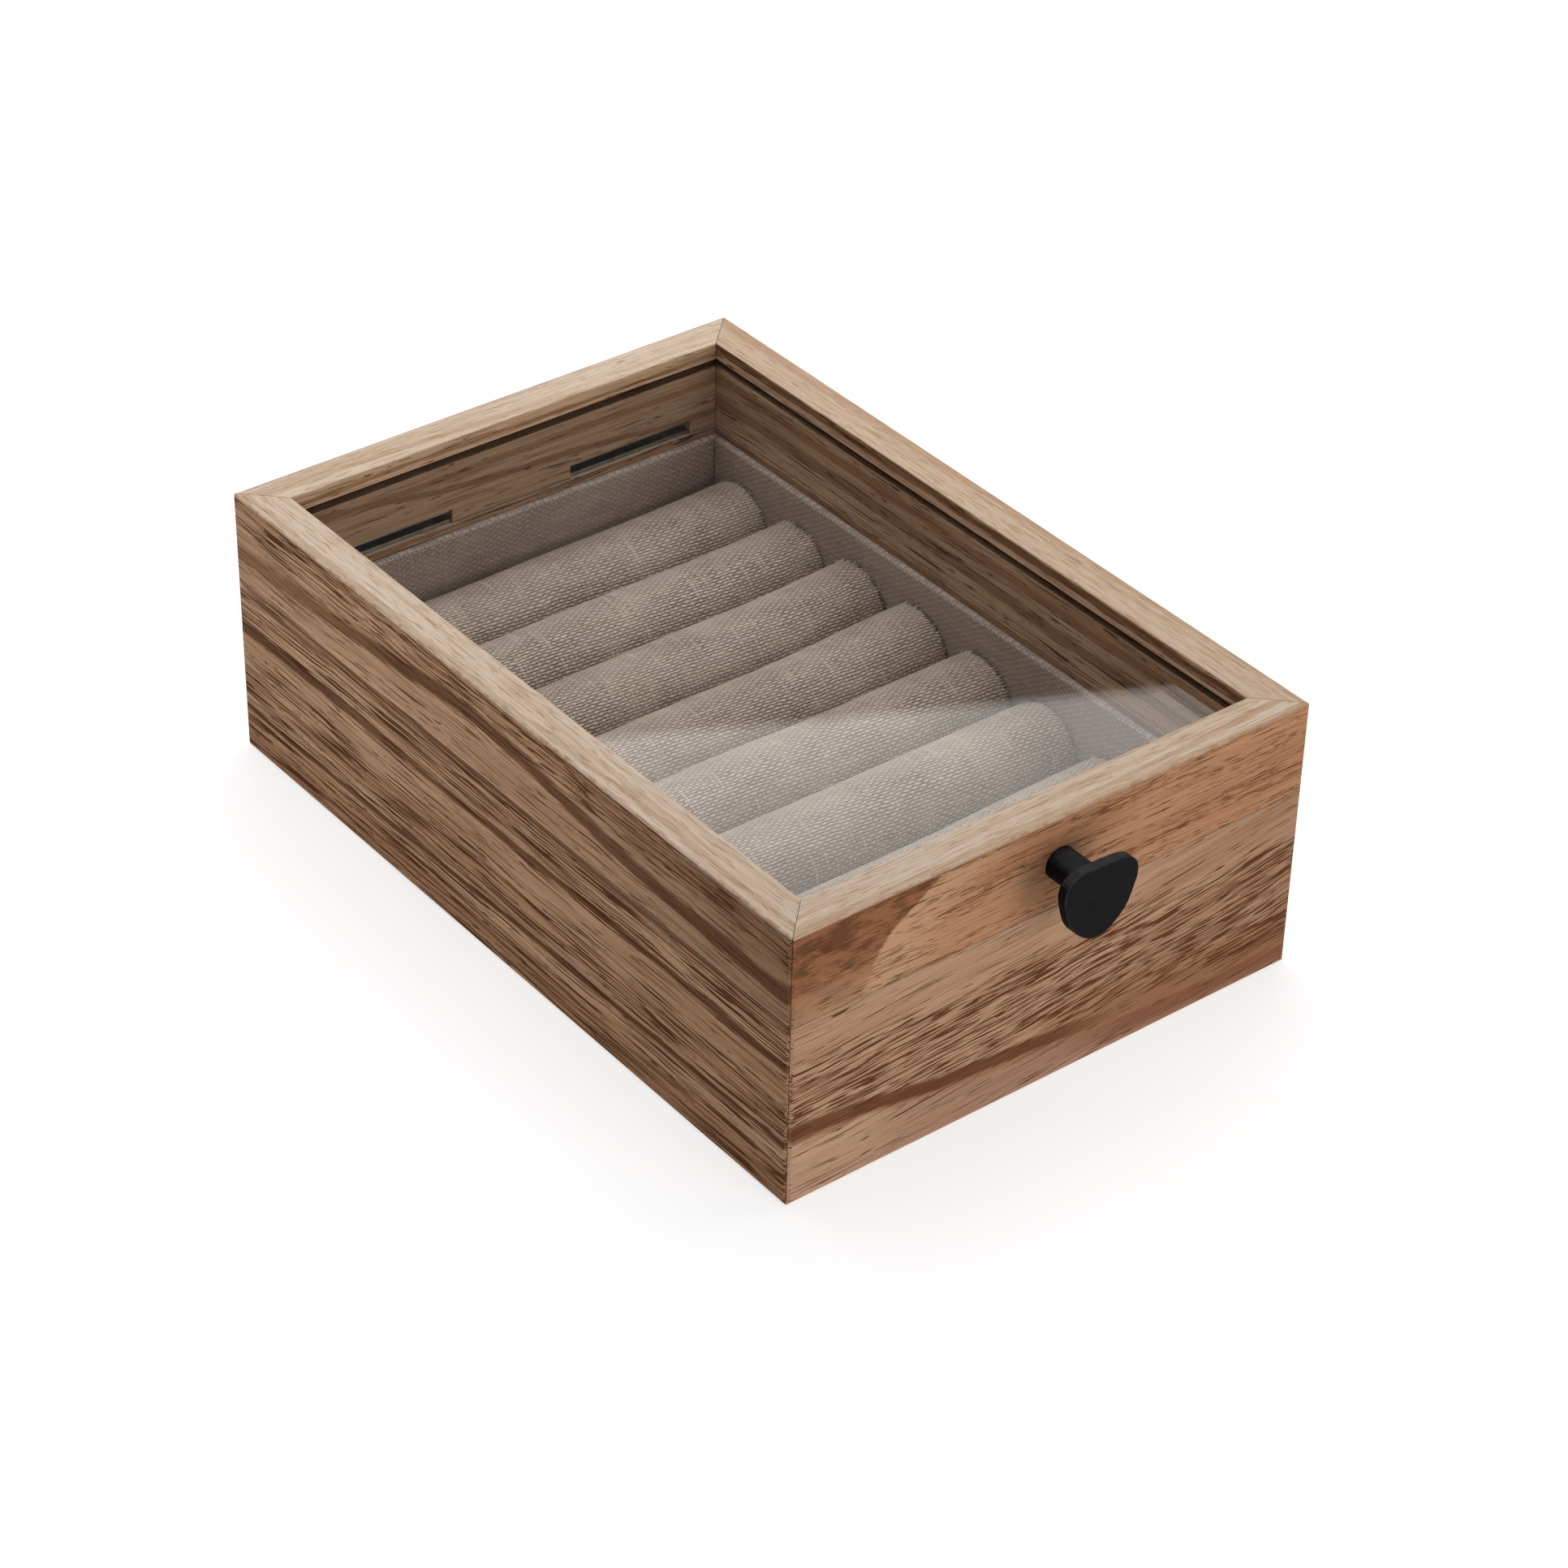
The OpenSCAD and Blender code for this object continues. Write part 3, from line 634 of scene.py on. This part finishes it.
def woven(graph, u, v, seed):
    """Height and thread shade of a plain weave, at u and v in millimetres."""
    stray = graph.noise(graph.product(u, 1 / 6), graph.product(v, 1 / 6), seed, detail=2.0)
    stray_too = graph.noise(graph.product(u, 1 / 5), graph.product(v, 1 / 5), seed + 7.0, detail=2.0)
    skewed = graph.math("MULTIPLY_ADD", u, THREAD_SKEW, v)
    pu = graph.math("MULTIPLY_ADD", graph.math("SUBTRACT", stray, 0.5), 1.0, graph.product(u, 1 / THREAD_U))
    straight_v = graph.product(skewed, 1 / THREAD_V)
    pv = graph.math("MULTIPLY_ADD", graph.math("SUBTRACT", stray_too, 0.5), 1.2, straight_v)
    wave_u = graph.math("SINE", graph.product(pu, math.pi))
    wave_v = graph.math("SINE", graph.product(pv, math.pi))
    round_u = graph.math("ABSOLUTE", wave_u)
    round_v = graph.math("ABSOLUTE", wave_v)
    # Each thread is round across, and goes over and under the threads that cross it
    rise_warp = graph.math("MULTIPLY_ADD", graph.product(wave_v, graph.math("SIGN", wave_u)), 0.5, 0.5)
    rise_weft = graph.math("MULTIPLY_ADD", graph.product(wave_u, graph.math("SIGN", wave_v)), -0.34, 0.66)
    warp = graph.product(graph.math("POWER", round_u, 0.8), rise_warp, WARP_SHARE)
    weft = graph.product(graph.math("POWER", round_v, 0.8), rise_weft)
    height = graph.math("MAXIMUM", warp, weft)
    over = graph.step(graph.math("SUBTRACT", warp, weft), -0.03, 0.03)
    thread_u = graph.product(graph.math("FLOOR", pu), 7.31)
    thread_v = graph.product(graph.math("FLOOR", pv), 5.17)
    warp_tone = graph.noise(thread_u, graph.product(v, 1 / 9), seed + 1.0, detail=1.0)
    weft_tone = graph.noise(thread_v, graph.product(u, 1 / 9), seed + 2.0, detail=1.0)
    return height, graph.blend(over, weft_tone, warp_tone)


def linen(name, seed):
    """Coarse natural linen on the rolls. The UV map gives places along and round the roll in metres."""
    graph = Graph(name)
    place = graph.add("ShaderNodeUVMap", {"uv_map": "cloth"}).outputs[0]
    u, v = (graph.product(part, 1 / MM) for part in graph.split(place)[:2])
    height, tone = woven(graph, u, v, seed)
    cloud = graph.noise(graph.product(u, 1 / 22), graph.product(v, 1 / 14), seed + 4.0, detail=2.0)
    hair = graph.noise(graph.product(u, 1 / 0.9), graph.product(v, 1 / 0.25), seed + 5.0, detail=2.0)
    # Painted shade: the low places between the threads are painted darker, mixed with each thread's own tone
    gap_shade_and_tone = graph.total(graph.product(height, 0.8), graph.product(tone, 0.5), graph.product(hair, 0.15))
    colour = graph.paint(graph.step(gap_shade_and_tone, 0.36, 1.02), LINEN_GAP_SHADE, LINEN)
    colour = graph.paint(graph.step(cloud, 0.35, 0.7, 0.0, 0.2), colour, LINEN_LIGHT)
    slub = graph.step(tone, 0.64, 0.74, 0.0, 0.35)
    colour = graph.paint(slub, colour, LINEN_LIGHT)
    relief = graph.total(height, graph.product(tone, 0.5), graph.product(hair, 0.2))
    gloss = {"Specular_IOR_Level": 0.1, "Sheen_Weight": 0.25}
    return graph.principled(colour, 0.92, relief, LINEN_DEPTH, 0.9, **gloss)


def lining_cloth(name, seed, across):
    """Finer grey cloth on the cards. across says which axis runs along the wall."""
    graph = Graph(name)
    x, y, z = graph.places()
    u = {"x": x, "y": y, "flat": x}[across]
    v = y if across == "flat" else z
    height, tone = woven(graph, u, v, seed)
    cloud = graph.noise(graph.product(u, 1 / 30), graph.product(v, 1 / 12), seed + 4.0, detail=2.0)
    # Painted shade: the low places between the threads are painted darker, mixed with each thread's own tone
    gap_shade_and_tone = graph.total(graph.product(height, 0.6), graph.product(tone, 0.6))
    colour = graph.paint(graph.step(gap_shade_and_tone, 0.45, 0.95), LINING_GAP_SHADE, LINING)
    colour = graph.paint(graph.step(cloud, 0.35, 0.7, 0.0, 0.2), colour, LINING_LIGHT)
    if across != "flat":
        rim = graph.step(z, *LINING_RIM_FROM)
        stitch = graph.step(graph.math("SINE", graph.product(u, 2 * math.pi / THREAD_U)), -0.3, 0.5)
        colour = graph.paint(graph.product(rim, stitch, 0.4), colour, LINING_RIM)
    gloss = {"Specular_IOR_Level": 0.1, "Sheen_Weight": 0.1}
    return graph.principled(colour, 0.95, height, LINING_DEPTH, 0.8, **gloss)


# Soft pieces

# The rolls' sizes in millimetres. The last two have settled, and the skin lies just outside the CAD form.
FLOOR_TOP = 7.0
ROLL_COUNT = 8
ROLL_LENGTH = 116.8
ROLL_HALF = 11.475
ROLL_HEIGHT = 28.0
ROLL_MIDDLE = 15.0
ROLL_FOOT = 6.5
ROLL_SKIN = 0.07
SETTLED_ROLLS = 2
ROLL_SETTLE = 4.0
# How far the ends draw in, left and right, and over what length
END_DRAW = (0.8, 0.35)
END_LENGTH = 4.0
# Slow waves in the crest, the lean and the roundness of the rolls
CREST_WAVE = 0.35
LEAN = 0.3
LEAN_FROM = 16.0
LEAN_OVER = 13.0
NARROWING = 0.004
SWELL = 0.18
RIPPLE = 0.09
# How much fuller each roll's crest is than its CAD form, at four places from the left end to the right end
CREST_PLACES = (-58.4, -25.0, 20.0, 58.4)
CREST_RISES = {
    1: (0.05, 0.3, 0.9, 2.4),
    2: (0.9, 0.7, 1.1, 1.8),
    3: (1.0, 0.9, 1.4, 2.7),
    4: (1.3, 1.0, 1.2, 2.3),
    5: (1.2, 1.4, 0.9, 1.3),
    6: (0.5, 0.4, 0.5, 0.6),
    7: (0.1, 0.2, 0.6, 1.9),
    8: (0.3, 0.5, 0.4, 0.5),
}
# Points round half a roll's section, and the spacing of the sections, closer near the ends
HALF_RING = 90
FINE_STEP = 0.5
FINE_LENGTH = 4.5
COARSE_STEP = 1.6
# How the cut cloth turns in at an end: steps toward the middle, and how far back each lies
END_TURN = ((0.35, 0.10), (0.7, 0.9), (2.5, 0.75), (6.0, 0.45))
END_MIDDLE = 0.3
# The thread ends that stand out round a cut end
FRINGE_REACH = 0.42
FRINGE_ROOT = 0.7
FRINGE_LOWEST = 4.0
FRINGE_RING = 400
FRINGE_WIDE = 0.27
FRINGE_HIGH = 0.24
FRINGE_TAPER = 0.45
FRINGE_RISE = 1.5
# The cards: rounding of the edges, spacing of the cuts along a wall, on the floor and across, and the loops
CARD_ROUNDING = 0.75
CARD_WALL_CUTS = 0.45
CARD_FLOOR_CUTS = 4.0
CARD_CROSS_CUTS = 3.0
CARD_RIM = 0.5
LOOP_DEPTH = 0.11


def link(name, mesh):
    piece = bpy.data.objects.new(name, mesh)
    bpy.context.scene.collection.objects.link(piece)
    return piece


def piece_from(bm, name, material):
    mesh = bpy.data.meshes.new(name)
    bm.to_mesh(mesh)
    bm.free()
    mesh.materials.append(material)
    return link(name, mesh)


def add_face(bm, layer, corners, uv, smooth=False):
    """A face whose corners get their place on the cloth from uv."""
    face = bm.faces.new(corners)
    face.smooth = smooth
    for loop in face.loops:
        loop[layer].uv = uv(loop.vert)


def wave(x, degrees, shift):
    """An angle that grows by so many degrees over a roll's length."""
    return math.radians(degrees * x / ROLL_LENGTH + shift)


def roll_inset(x, half_length):
    s = max(0.0, 1 - (half_length - abs(x)) / END_LENGTH)
    return (END_DRAW[0] if x < 0 else END_DRAW[1]) * s * s


def roll_crest(x, number):
    first = math.sin(wave(x, 450, 97 * number))
    second = math.cos(wave(x, 230, -61 * number))
    settle = ROLL_SETTLE if number > ROLL_COUNT - SETTLED_ROLLS else 0.0
    rise = np.polyval(np.polyfit(CREST_PLACES, CREST_RISES[number], 3), x)
    return ROLL_HEIGHT - settle + CREST_WAVE * first * second + max(0.0, float(rise))


def roll_section(x, number, centre, half_length, count):
    """
    Points round the roll at one place along it, from the middle of its foot, up the front side and back.
    Each is its place across, its height, and its distance round the roll from the crest.
    """
    inset = roll_inset(x, half_length)
    half = ROLL_HALF - inset + ROLL_SKIN
    crest = FLOOR_TOP + roll_crest(x, number) - inset + ROLL_SKIN
    middle = crest - half
    lean = LEAN * math.sin(wave(x, 260, 75 * number))
    ripples = RIPPLE * math.sin(x / 7.3 + 2.1 * number) + RIPPLE * math.sin(x / 12.1 + 4.3 * number)
    swell = SWELL + ripples
    # One half of the section is a flat foot, a rounded corner, a wall and a quarter of the crown
    flat = half - ROLL_FOOT
    arc = math.pi / 2 * ROLL_FOOT
    wall = middle - FLOOR_TOP - ROLL_FOOT
    crown = math.pi / 2 * half
    total = flat + arc + wall + crown
    points = []
    for s in np.linspace(0.0, total, count):
        if s < flat:
            across, up = s, 0.0
        elif s < flat + arc:
            a = (s - flat) / ROLL_FOOT
            across, up = flat + ROLL_FOOT * math.sin(a), ROLL_FOOT - ROLL_FOOT * math.cos(a)
        elif s < flat + arc + wall:
            across, up = half, ROLL_FOOT + s - flat - arc
        else:
            a = (s - flat - arc - wall) / half
            radius = half + swell * math.sin(a) ** 2
            across, up = radius * math.cos(a), middle - FLOOR_TOP + radius * math.sin(a)
        points.append((across, up, s - total))
    ring = [(-across, up, s) for across, up, s in points[:-1]]
    ring += [(across, up, -s) for across, up, s in reversed(points)]
    placed = []
    for across, up, s in ring:
        # The crown leans a little, as hand-stuffed cloth does
        share = max(0.0, (up - LEAN_FROM) / LEAN_OVER)
        placed.append((centre + across * (1 - NARROWING * share) + lean * share * share, FLOOR_TOP + up, s))
    return placed


def roll_places(half_length):
    """Places of the sections along a roll, from its left end to its right end."""
    places = [-half_length]
    while places[-1] < half_length - 1e-6:
        near_end = min(places[-1] + half_length, half_length - places[-1])
        places.append(min(half_length, places[-1] + (FINE_STEP if near_end < FINE_LENGTH else COARSE_STEP)))
    return places


def roll_skin(bm, layer, places, sections):
    """The cloth round a roll. Gives back the rings of its corners."""
    rings = []
    for x, section in zip(places, sections):
        rings.append([bm.verts.new((x * MM, y * MM, z * MM)) for y, z, _ in section])
    count = len(rings[0])
    for n in range(len(rings) - 1):
        for k in range(count):
            j = (k + 1) % count
            face = bm.faces.new((rings[n][k], rings[n + 1][k], rings[n + 1][j], rings[n][j]))
            face.smooth = True
            # Where the ring closes, under the foot, the cloth keeps the last point's distance
            last = j or k
            for loop, (m, i) in zip(face.loops, ((n, k), (n + 1, k), (n + 1, last), (n, last))):
                loop[layer].uv = (places[m] * MM, sections[m][i][2] * MM)
    return rings


def roll_end(bm, layer, rim, x, sign, centre):
    """One end of a roll: the cut cloth turns in, and the filled end sits just behind it."""
    middle = Vector((x * MM, centre * MM, (FLOOR_TOP + ROLL_MIDDLE) * MM))
    count = len(rim)
    previous = rim
    for inward, back in END_TURN:
        ring = []
        for vert in rim:
            toward = Vector((0, middle.y - vert.co.y, middle.z - vert.co.z)).normalized()
            place = Vector(((x - sign * back) * MM, vert.co.y, vert.co.z))
            ring.append(bm.verts.new(place + toward * inward * MM))
        for k in range(count):
            j = (k + 1) % count
            corners = (previous[k], previous[j], ring[j], ring[k])
            add_face(bm, layer, corners[::sign], lambda vert: (vert.co.y, vert.co.z), smooth=True)
        previous = ring
    tip = bm.verts.new(((x - sign * END_MIDDLE) * MM, middle.y, middle.z))
    for k in range(count):
        corners = (previous[k], previous[(k + 1) % count], tip)
        add_face(bm, layer, corners[::sign], lambda vert: (vert.co.y, vert.co.z), smooth=True)


def fringe(bm, layer, number, centre, half_length, sign):
    """Cut thread ends that stand out round one end of a roll, each a small tapered tuft."""
    chance = np.random.default_rng(50 * number + sign)
    x = sign * half_length
    section = roll_section(x, number, centre, half_length, FRINGE_RING)
    due = section[0][2]
    for y, z, s in section:
        if abs(s - due) > 0.06 and s < due:
            continue
        due = s + THREAD_V * (1.0 + chance.uniform(-0.2, 0.2))
        if z < FLOOR_TOP + FRINGE_LOWEST:
            continue
        out = Vector((0, y - centre, z - FLOOR_TOP - ROLL_MIDDLE)).normalized()
        along = Vector((0, -out.z, out.y))
        root = Vector((x - sign * FRINGE_ROOT, y, z)) - out * 0.10
        tip = Vector((x + sign * FRINGE_REACH * chance.uniform(0.45, 1.0), y, z))
        # Over the crown, clear of the neighbours, the ends also stand up
        rise = chance.uniform(-0.25, 0.05) + FRINGE_RISE * chance.uniform(0.4, 1.0) * max(0.0, out.z - 0.35)
        tip += out * rise
        tip += along * chance.uniform(-0.15, 0.15)
        wide = along * FRINGE_WIDE
        high = out * FRINGE_HIGH
        corners = [root - wide, root + high, root + wide, root - high]
        near_tip = [tip + (corner - root) * FRINGE_TAPER for corner in corners]
        base, end = ([bm.verts.new(spot * MM) for spot in ring] for ring in (corners, near_tip))
        for k in range(4):
            j = (k + 1) % 4
            add_face(bm, layer, (base[k], base[j], end[j], end[k]), lambda vert: (x * MM, s * MM))
        add_face(bm, layer, end, lambda vert: (x * MM, s * MM))


def make_roll(number):
    low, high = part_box(f"ring_roll_{number}")
    centre = (low[1] + high[1]) / 2 / MM
    half_length = (high[0] - low[0]) / 2 / MM
    places = roll_places(half_length)
    sections = [roll_section(x, number, centre, half_length, HALF_RING) for x in places]
    bm = bmesh.new()
    layer = bm.loops.layers.uv.new("cloth")
    rings = roll_skin(bm, layer, places, sections)
    for n, sign in ((0, -1), (-1, 1)):
        roll_end(bm, layer, rings[n], places[n], sign, centre)
    bmesh.ops.recalc_face_normals(bm, faces=bm.faces)
    for sign in (-1, 1):
        fringe(bm, layer, number, centre, half_length, sign)
    piece = piece_from(bm, f"linen_roll_{number}", linen(f"linen_{number}", 3.0 + 11.0 * number))
    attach(piece, "base")
    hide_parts(f"ring_roll_{number}")


def cut_across(bm, axis, low, high, spacing):
    """Cuts a mesh at even spacing along one axis."""
    direction = Vector([1.0 if a == axis else 0.0 for a in range(3)])
    place = low + 1.0
    while place < high - 1.0:
        everything = bm.verts[:] + bm.edges[:] + bm.faces[:]
        bmesh.ops.bisect_plane(bm, geom=everything, plane_co=direction * place, plane_no=direction)
        place += spacing


def covered_card(node, name, across, seed):
    """A card wrapped in cloth, in the place of its CAD solid, with thread loops along the top rim."""
    low, high = (Vector(corner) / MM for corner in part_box(node))
    bm = bmesh.new()
    bmesh.ops.create_cube(bm, size=1.0)
    for vert in bm.verts:
        for a in range(3):
            vert.co[a] = low[a] if vert.co[a] < 0 else high[a]
    bmesh.ops.bevel(bm, geom=bm.edges[:], offset=CARD_ROUNDING, segments=4, profile=0.5, affect="EDGES")
    first, second = {"x": (0, 2), "y": (1, 2), "flat": (0, 1)}[across]
    cut_across(bm, first, low[first], high[first], CARD_FLOOR_CUTS if across == "flat" else CARD_WALL_CUTS)
    cut_across(bm, second, low[second], high[second], CARD_CROSS_CUTS)
    for vert in bm.verts:
        if across != "flat" and vert.co.z > high.z - CARD_RIM:
            vert.co.z -= LOOP_DEPTH * (1 - math.cos(2 * math.pi * vert.co[first] / THREAD_U))
        vert.co *= MM
    for face in bm.faces:
        face.smooth = True
    piece = piece_from(bm, name, lining_cloth(name, seed, across))
    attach(piece, "base")
    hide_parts(node)


# Glass, metal, plastic and plywood

GLASS_CLEAR = (0.978, 0.984, 0.982)
GLASS_SHINE = (0.62, 0.605, 0.59)
GLASS_IOR = 1.5
BLACK = (0.0040, 0.0040, 0.0042)
BLACK_SPECK = (0.0075, 0.0075, 0.0078)
# The grey of the knob's worn edges, also used as the painted highlight on its upward faces
BLACK_WORN_AND_LIT = (0.030, 0.031, 0.034)
STEEL = (0.42, 0.41, 0.39)
STEEL_DULL = (0.27, 0.26, 0.245)
PLYWOOD = (0.60, 0.46, 0.31)
PLYWOOD_TAN = (0.47, 0.33, 0.205)
PLYWOOD_PORE = (0.22, 0.13, 0.07)


def clear_glass():
    graph = Graph("clear_glass")
    clear = graph.add("ShaderNodeBsdfTransparent", None, Color=GLASS_CLEAR)
    shine = graph.add("ShaderNodeBsdfAnisotropic", None, Color=GLASS_SHINE, Roughness=0.02)
    # The pane's two faces mirror alike, so the lower one, seen from inside, gets the turned index
    inside = graph.add("ShaderNodeNewGeometry").outputs["Backfacing"]
    share = graph.add("ShaderNodeFresnel", None, IOR=graph.blend(inside, GLASS_IOR, 1 / GLASS_IOR)).outputs[0]
    mix = graph.add("ShaderNodeMixShader")
    graph.links.new(share, mix.inputs[0])
    graph.links.new(clear.outputs[0], mix.inputs[1])
    graph.links.new(shine.outputs[0], mix.inputs[2])
    graph.links.new(mix.outputs[0], graph.output.inputs["Surface"])
    return graph.material


def black_plastic():
    graph = Graph("black_knob")
    places = graph.places()
    speck = graph.cells(places, (2.2, 2.2, 2.2), detail=4.0, roughness=0.7)
    rub = graph.cells(places, (0.3, 0.3, 0.3), detail=3.0)
    normal = graph.split(graph.add("ShaderNodeTexCoord").outputs["Normal"])
    # Painted highlight: what faces up is painted a little greyer, standing in for the light from above; wear
    # makes the edges of the plate a little greyer too
    painted_top_light = graph.product(graph.step(normal[2], 0.35, 0.85), graph.step(rub, 0.30, 0.60, 0.55, 1.0))
    facing = graph.math("ABSOLUTE", normal[1])
    edge = graph.product(graph.step(facing, 0.45, 0.6), graph.step(facing, 0.8, 0.95, 1.0, 0.0))
    colour = graph.paint(graph.step(speck, 0.55, 0.8), BLACK, BLACK_SPECK)
    wear_and_top_light = graph.math("MAXIMUM", painted_top_light, graph.product(edge, graph.step(rub, 0.35, 0.6, 0.35, 1.0)))
    # Worn edges, plus painted highlight on the upward faces
    colour = graph.paint(wear_and_top_light, colour, BLACK_WORN_AND_LIT)
    rough = graph.total(0.50, graph.product(rub, 0.22))
    return graph.principled(colour, rough, speck, depth=0.00004, strength=0.5, Specular_IOR_Level=0.06)


def steel():
    graph = Graph("hinge_steel")
    places = graph.places()
    brushed = graph.cells(places, (0.25, 4.0, 4.0), detail=3.0)
    stain = graph.cells(places, (0.4, 0.4, 0.4), detail=3.0)
    colour = graph.paint(graph.step(stain, 0.4, 0.7), STEEL, STEEL_DULL)
    rough = graph.total(0.22, graph.product(brushed, 0.25))
    return graph.principled(colour, rough, brushed, depth=0.00003, strength=0.4, Metallic=1.0)


def plywood():
    graph = Graph("plywood")
    places = graph.places()
    grain = graph.cells(places, (1 / 3, 1 / 60, 1 / 3), detail=4.0, distortion=0.6)
    pore = graph.cells(places, (1 / 0.5, 1 / 14, 1 / 0.5), detail=1.0)
    colour = graph.paint(graph.step(grain, 0.4, 0.65), PLYWOOD, PLYWOOD_TAN)
    pores = graph.step(pore, 0.64, 0.72)
    colour = graph.paint(graph.product(pores, 0.5), colour, PLYWOOD_PORE)
    relief = graph.total(graph.product(grain, 0.4), graph.product(pores, -0.5))
    return graph.principled(colour, 0.72, relief, depth=0.0001, strength=0.5, Specular_IOR_Level=0.25)


def dress(node, material):
    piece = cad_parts[node]
    for slot in piece.material_slots:
        slot.link = "OBJECT"
        slot.material = material


# Stage

FLOOR_REACH = 12.0
FLOOR_HEIGHT = -0.0002
FLOOR_GREY = (0.40, 0.40, 0.40)
FLOOR_GLOW = 0.72
WHITE = (1.0, 1.0, 1.0, 1.0)
# The world's light falls off from the horizon up
SKY_RISE = {"From Min": 0.22, "From Max": 0.42, "To Min": 0.50, "To Max": 0.08}
BOX_MIDDLE = (0.0, 0.0, 0.03)


def make_floor():
    mesh = bpy.data.meshes.new("floor")
    corners = ((-1, -1), (1, -1), (1, 1), (-1, 1))
    spots = [(x * FLOOR_REACH, y * FLOOR_REACH, FLOOR_HEIGHT) for x, y in corners]
    mesh.from_pydata(spots, [], [(0, 1, 2, 3)])
    floor = link("floor", mesh)
    graph = Graph("pale_floor")
    shader = graph.add("ShaderNodeBsdfPrincipled", None, Base_Color=FLOOR_GREY, Roughness=0.9)
    shader.inputs["Emission Color"].default_value = WHITE
    shader.inputs["Emission Strength"].default_value = FLOOR_GLOW
    graph.links.new(shader.outputs[0], graph.output.inputs["Surface"])
    mesh.materials.append(graph.material)


def area_light(name, radiance, size, place, toward):
    data = bpy.data.lights.new(name, "AREA")
    data.shape = "RECTANGLE"
    data.size, data.size_y = size
    data.energy = radiance * math.pi * size[0] * size[1]
    light = bpy.data.objects.new(name, data)
    light.matrix_world = toward
    light.location = place
    light.visible_camera = False
    bpy.context.scene.collection.objects.link(light)


def make_lights():
    turn = Matrix.Rotation(math.radians(SOFT_TURN), 4, "Z")
    middle = turn @ Vector((SOFT_EDGE - SOFT_DEPTH / 2, 0, SOFT_HEIGHT))
    area_light("soft_box", SOFT_RADIANCE, (SOFT_DEPTH, SOFT_WIDTH), middle, turn)

    aim = Vector(BOX_MIDDLE) - Vector(FILL_PLACE)
    toward = aim.to_track_quat("-Z", "Y").to_matrix().to_4x4()
    area_light("fill", FILL_RADIANCE, (FILL_SIZE, FILL_SIZE), FILL_PLACE, toward)


def make_world():
    world = bpy.data.worlds.new("studio")
    bpy.context.scene.world = world
    world.use_nodes = True
    nodes = world.node_tree.nodes
    links = world.node_tree.links
    ground = nodes["Background"]
    place = nodes.new("ShaderNodeTexCoord")
    split = nodes.new("ShaderNodeSeparateXYZ")
    links.new(place.outputs["Generated"], split.inputs[0])
    rise = nodes.new("ShaderNodeMapRange")
    rise.interpolation_type = "SMOOTHSTEP"
    for key, value in SKY_RISE.items():
        rise.inputs[key].default_value = value
    links.new(split.outputs["Z"], rise.inputs["Value"])
    links.new(rise.outputs[0], ground.inputs["Strength"])
    ground.inputs["Color"].default_value = WHITE


place_camera()
make_floor()
make_lights()
make_world()
bpy.context.scene.view_settings.view_transform = "Standard"

for node, board in wood_boards().items():
    dress(node, wood(f"wood_{node}", board))
dress("glass_pane", clear_glass())
dress("knob", black_plastic())
dress("bottom_panel", plywood())
metal = steel()
for side in ("left", "right"):
    for part in ("base_leaf", "lid_leaf", "pin"):
        dress(f"hinge_{side}_{part}", metal)
for node in ("hinge_base_screws", "hinge_lid_screws", "knob_screw"):
    dress(node, metal)

for number in range(1, ROLL_COUNT + 1):
    make_roll(number)
covered_card("lining_rear", "cloth_rear", "x", 5.0)
covered_card("lining_front", "cloth_front", "x", 9.0)
covered_card("lining_left", "cloth_left", "y", 15.0)
covered_card("lining_right", "cloth_right", "y", 19.0)
covered_card("floor_lining", "cloth_floor", "flat", 27.0)
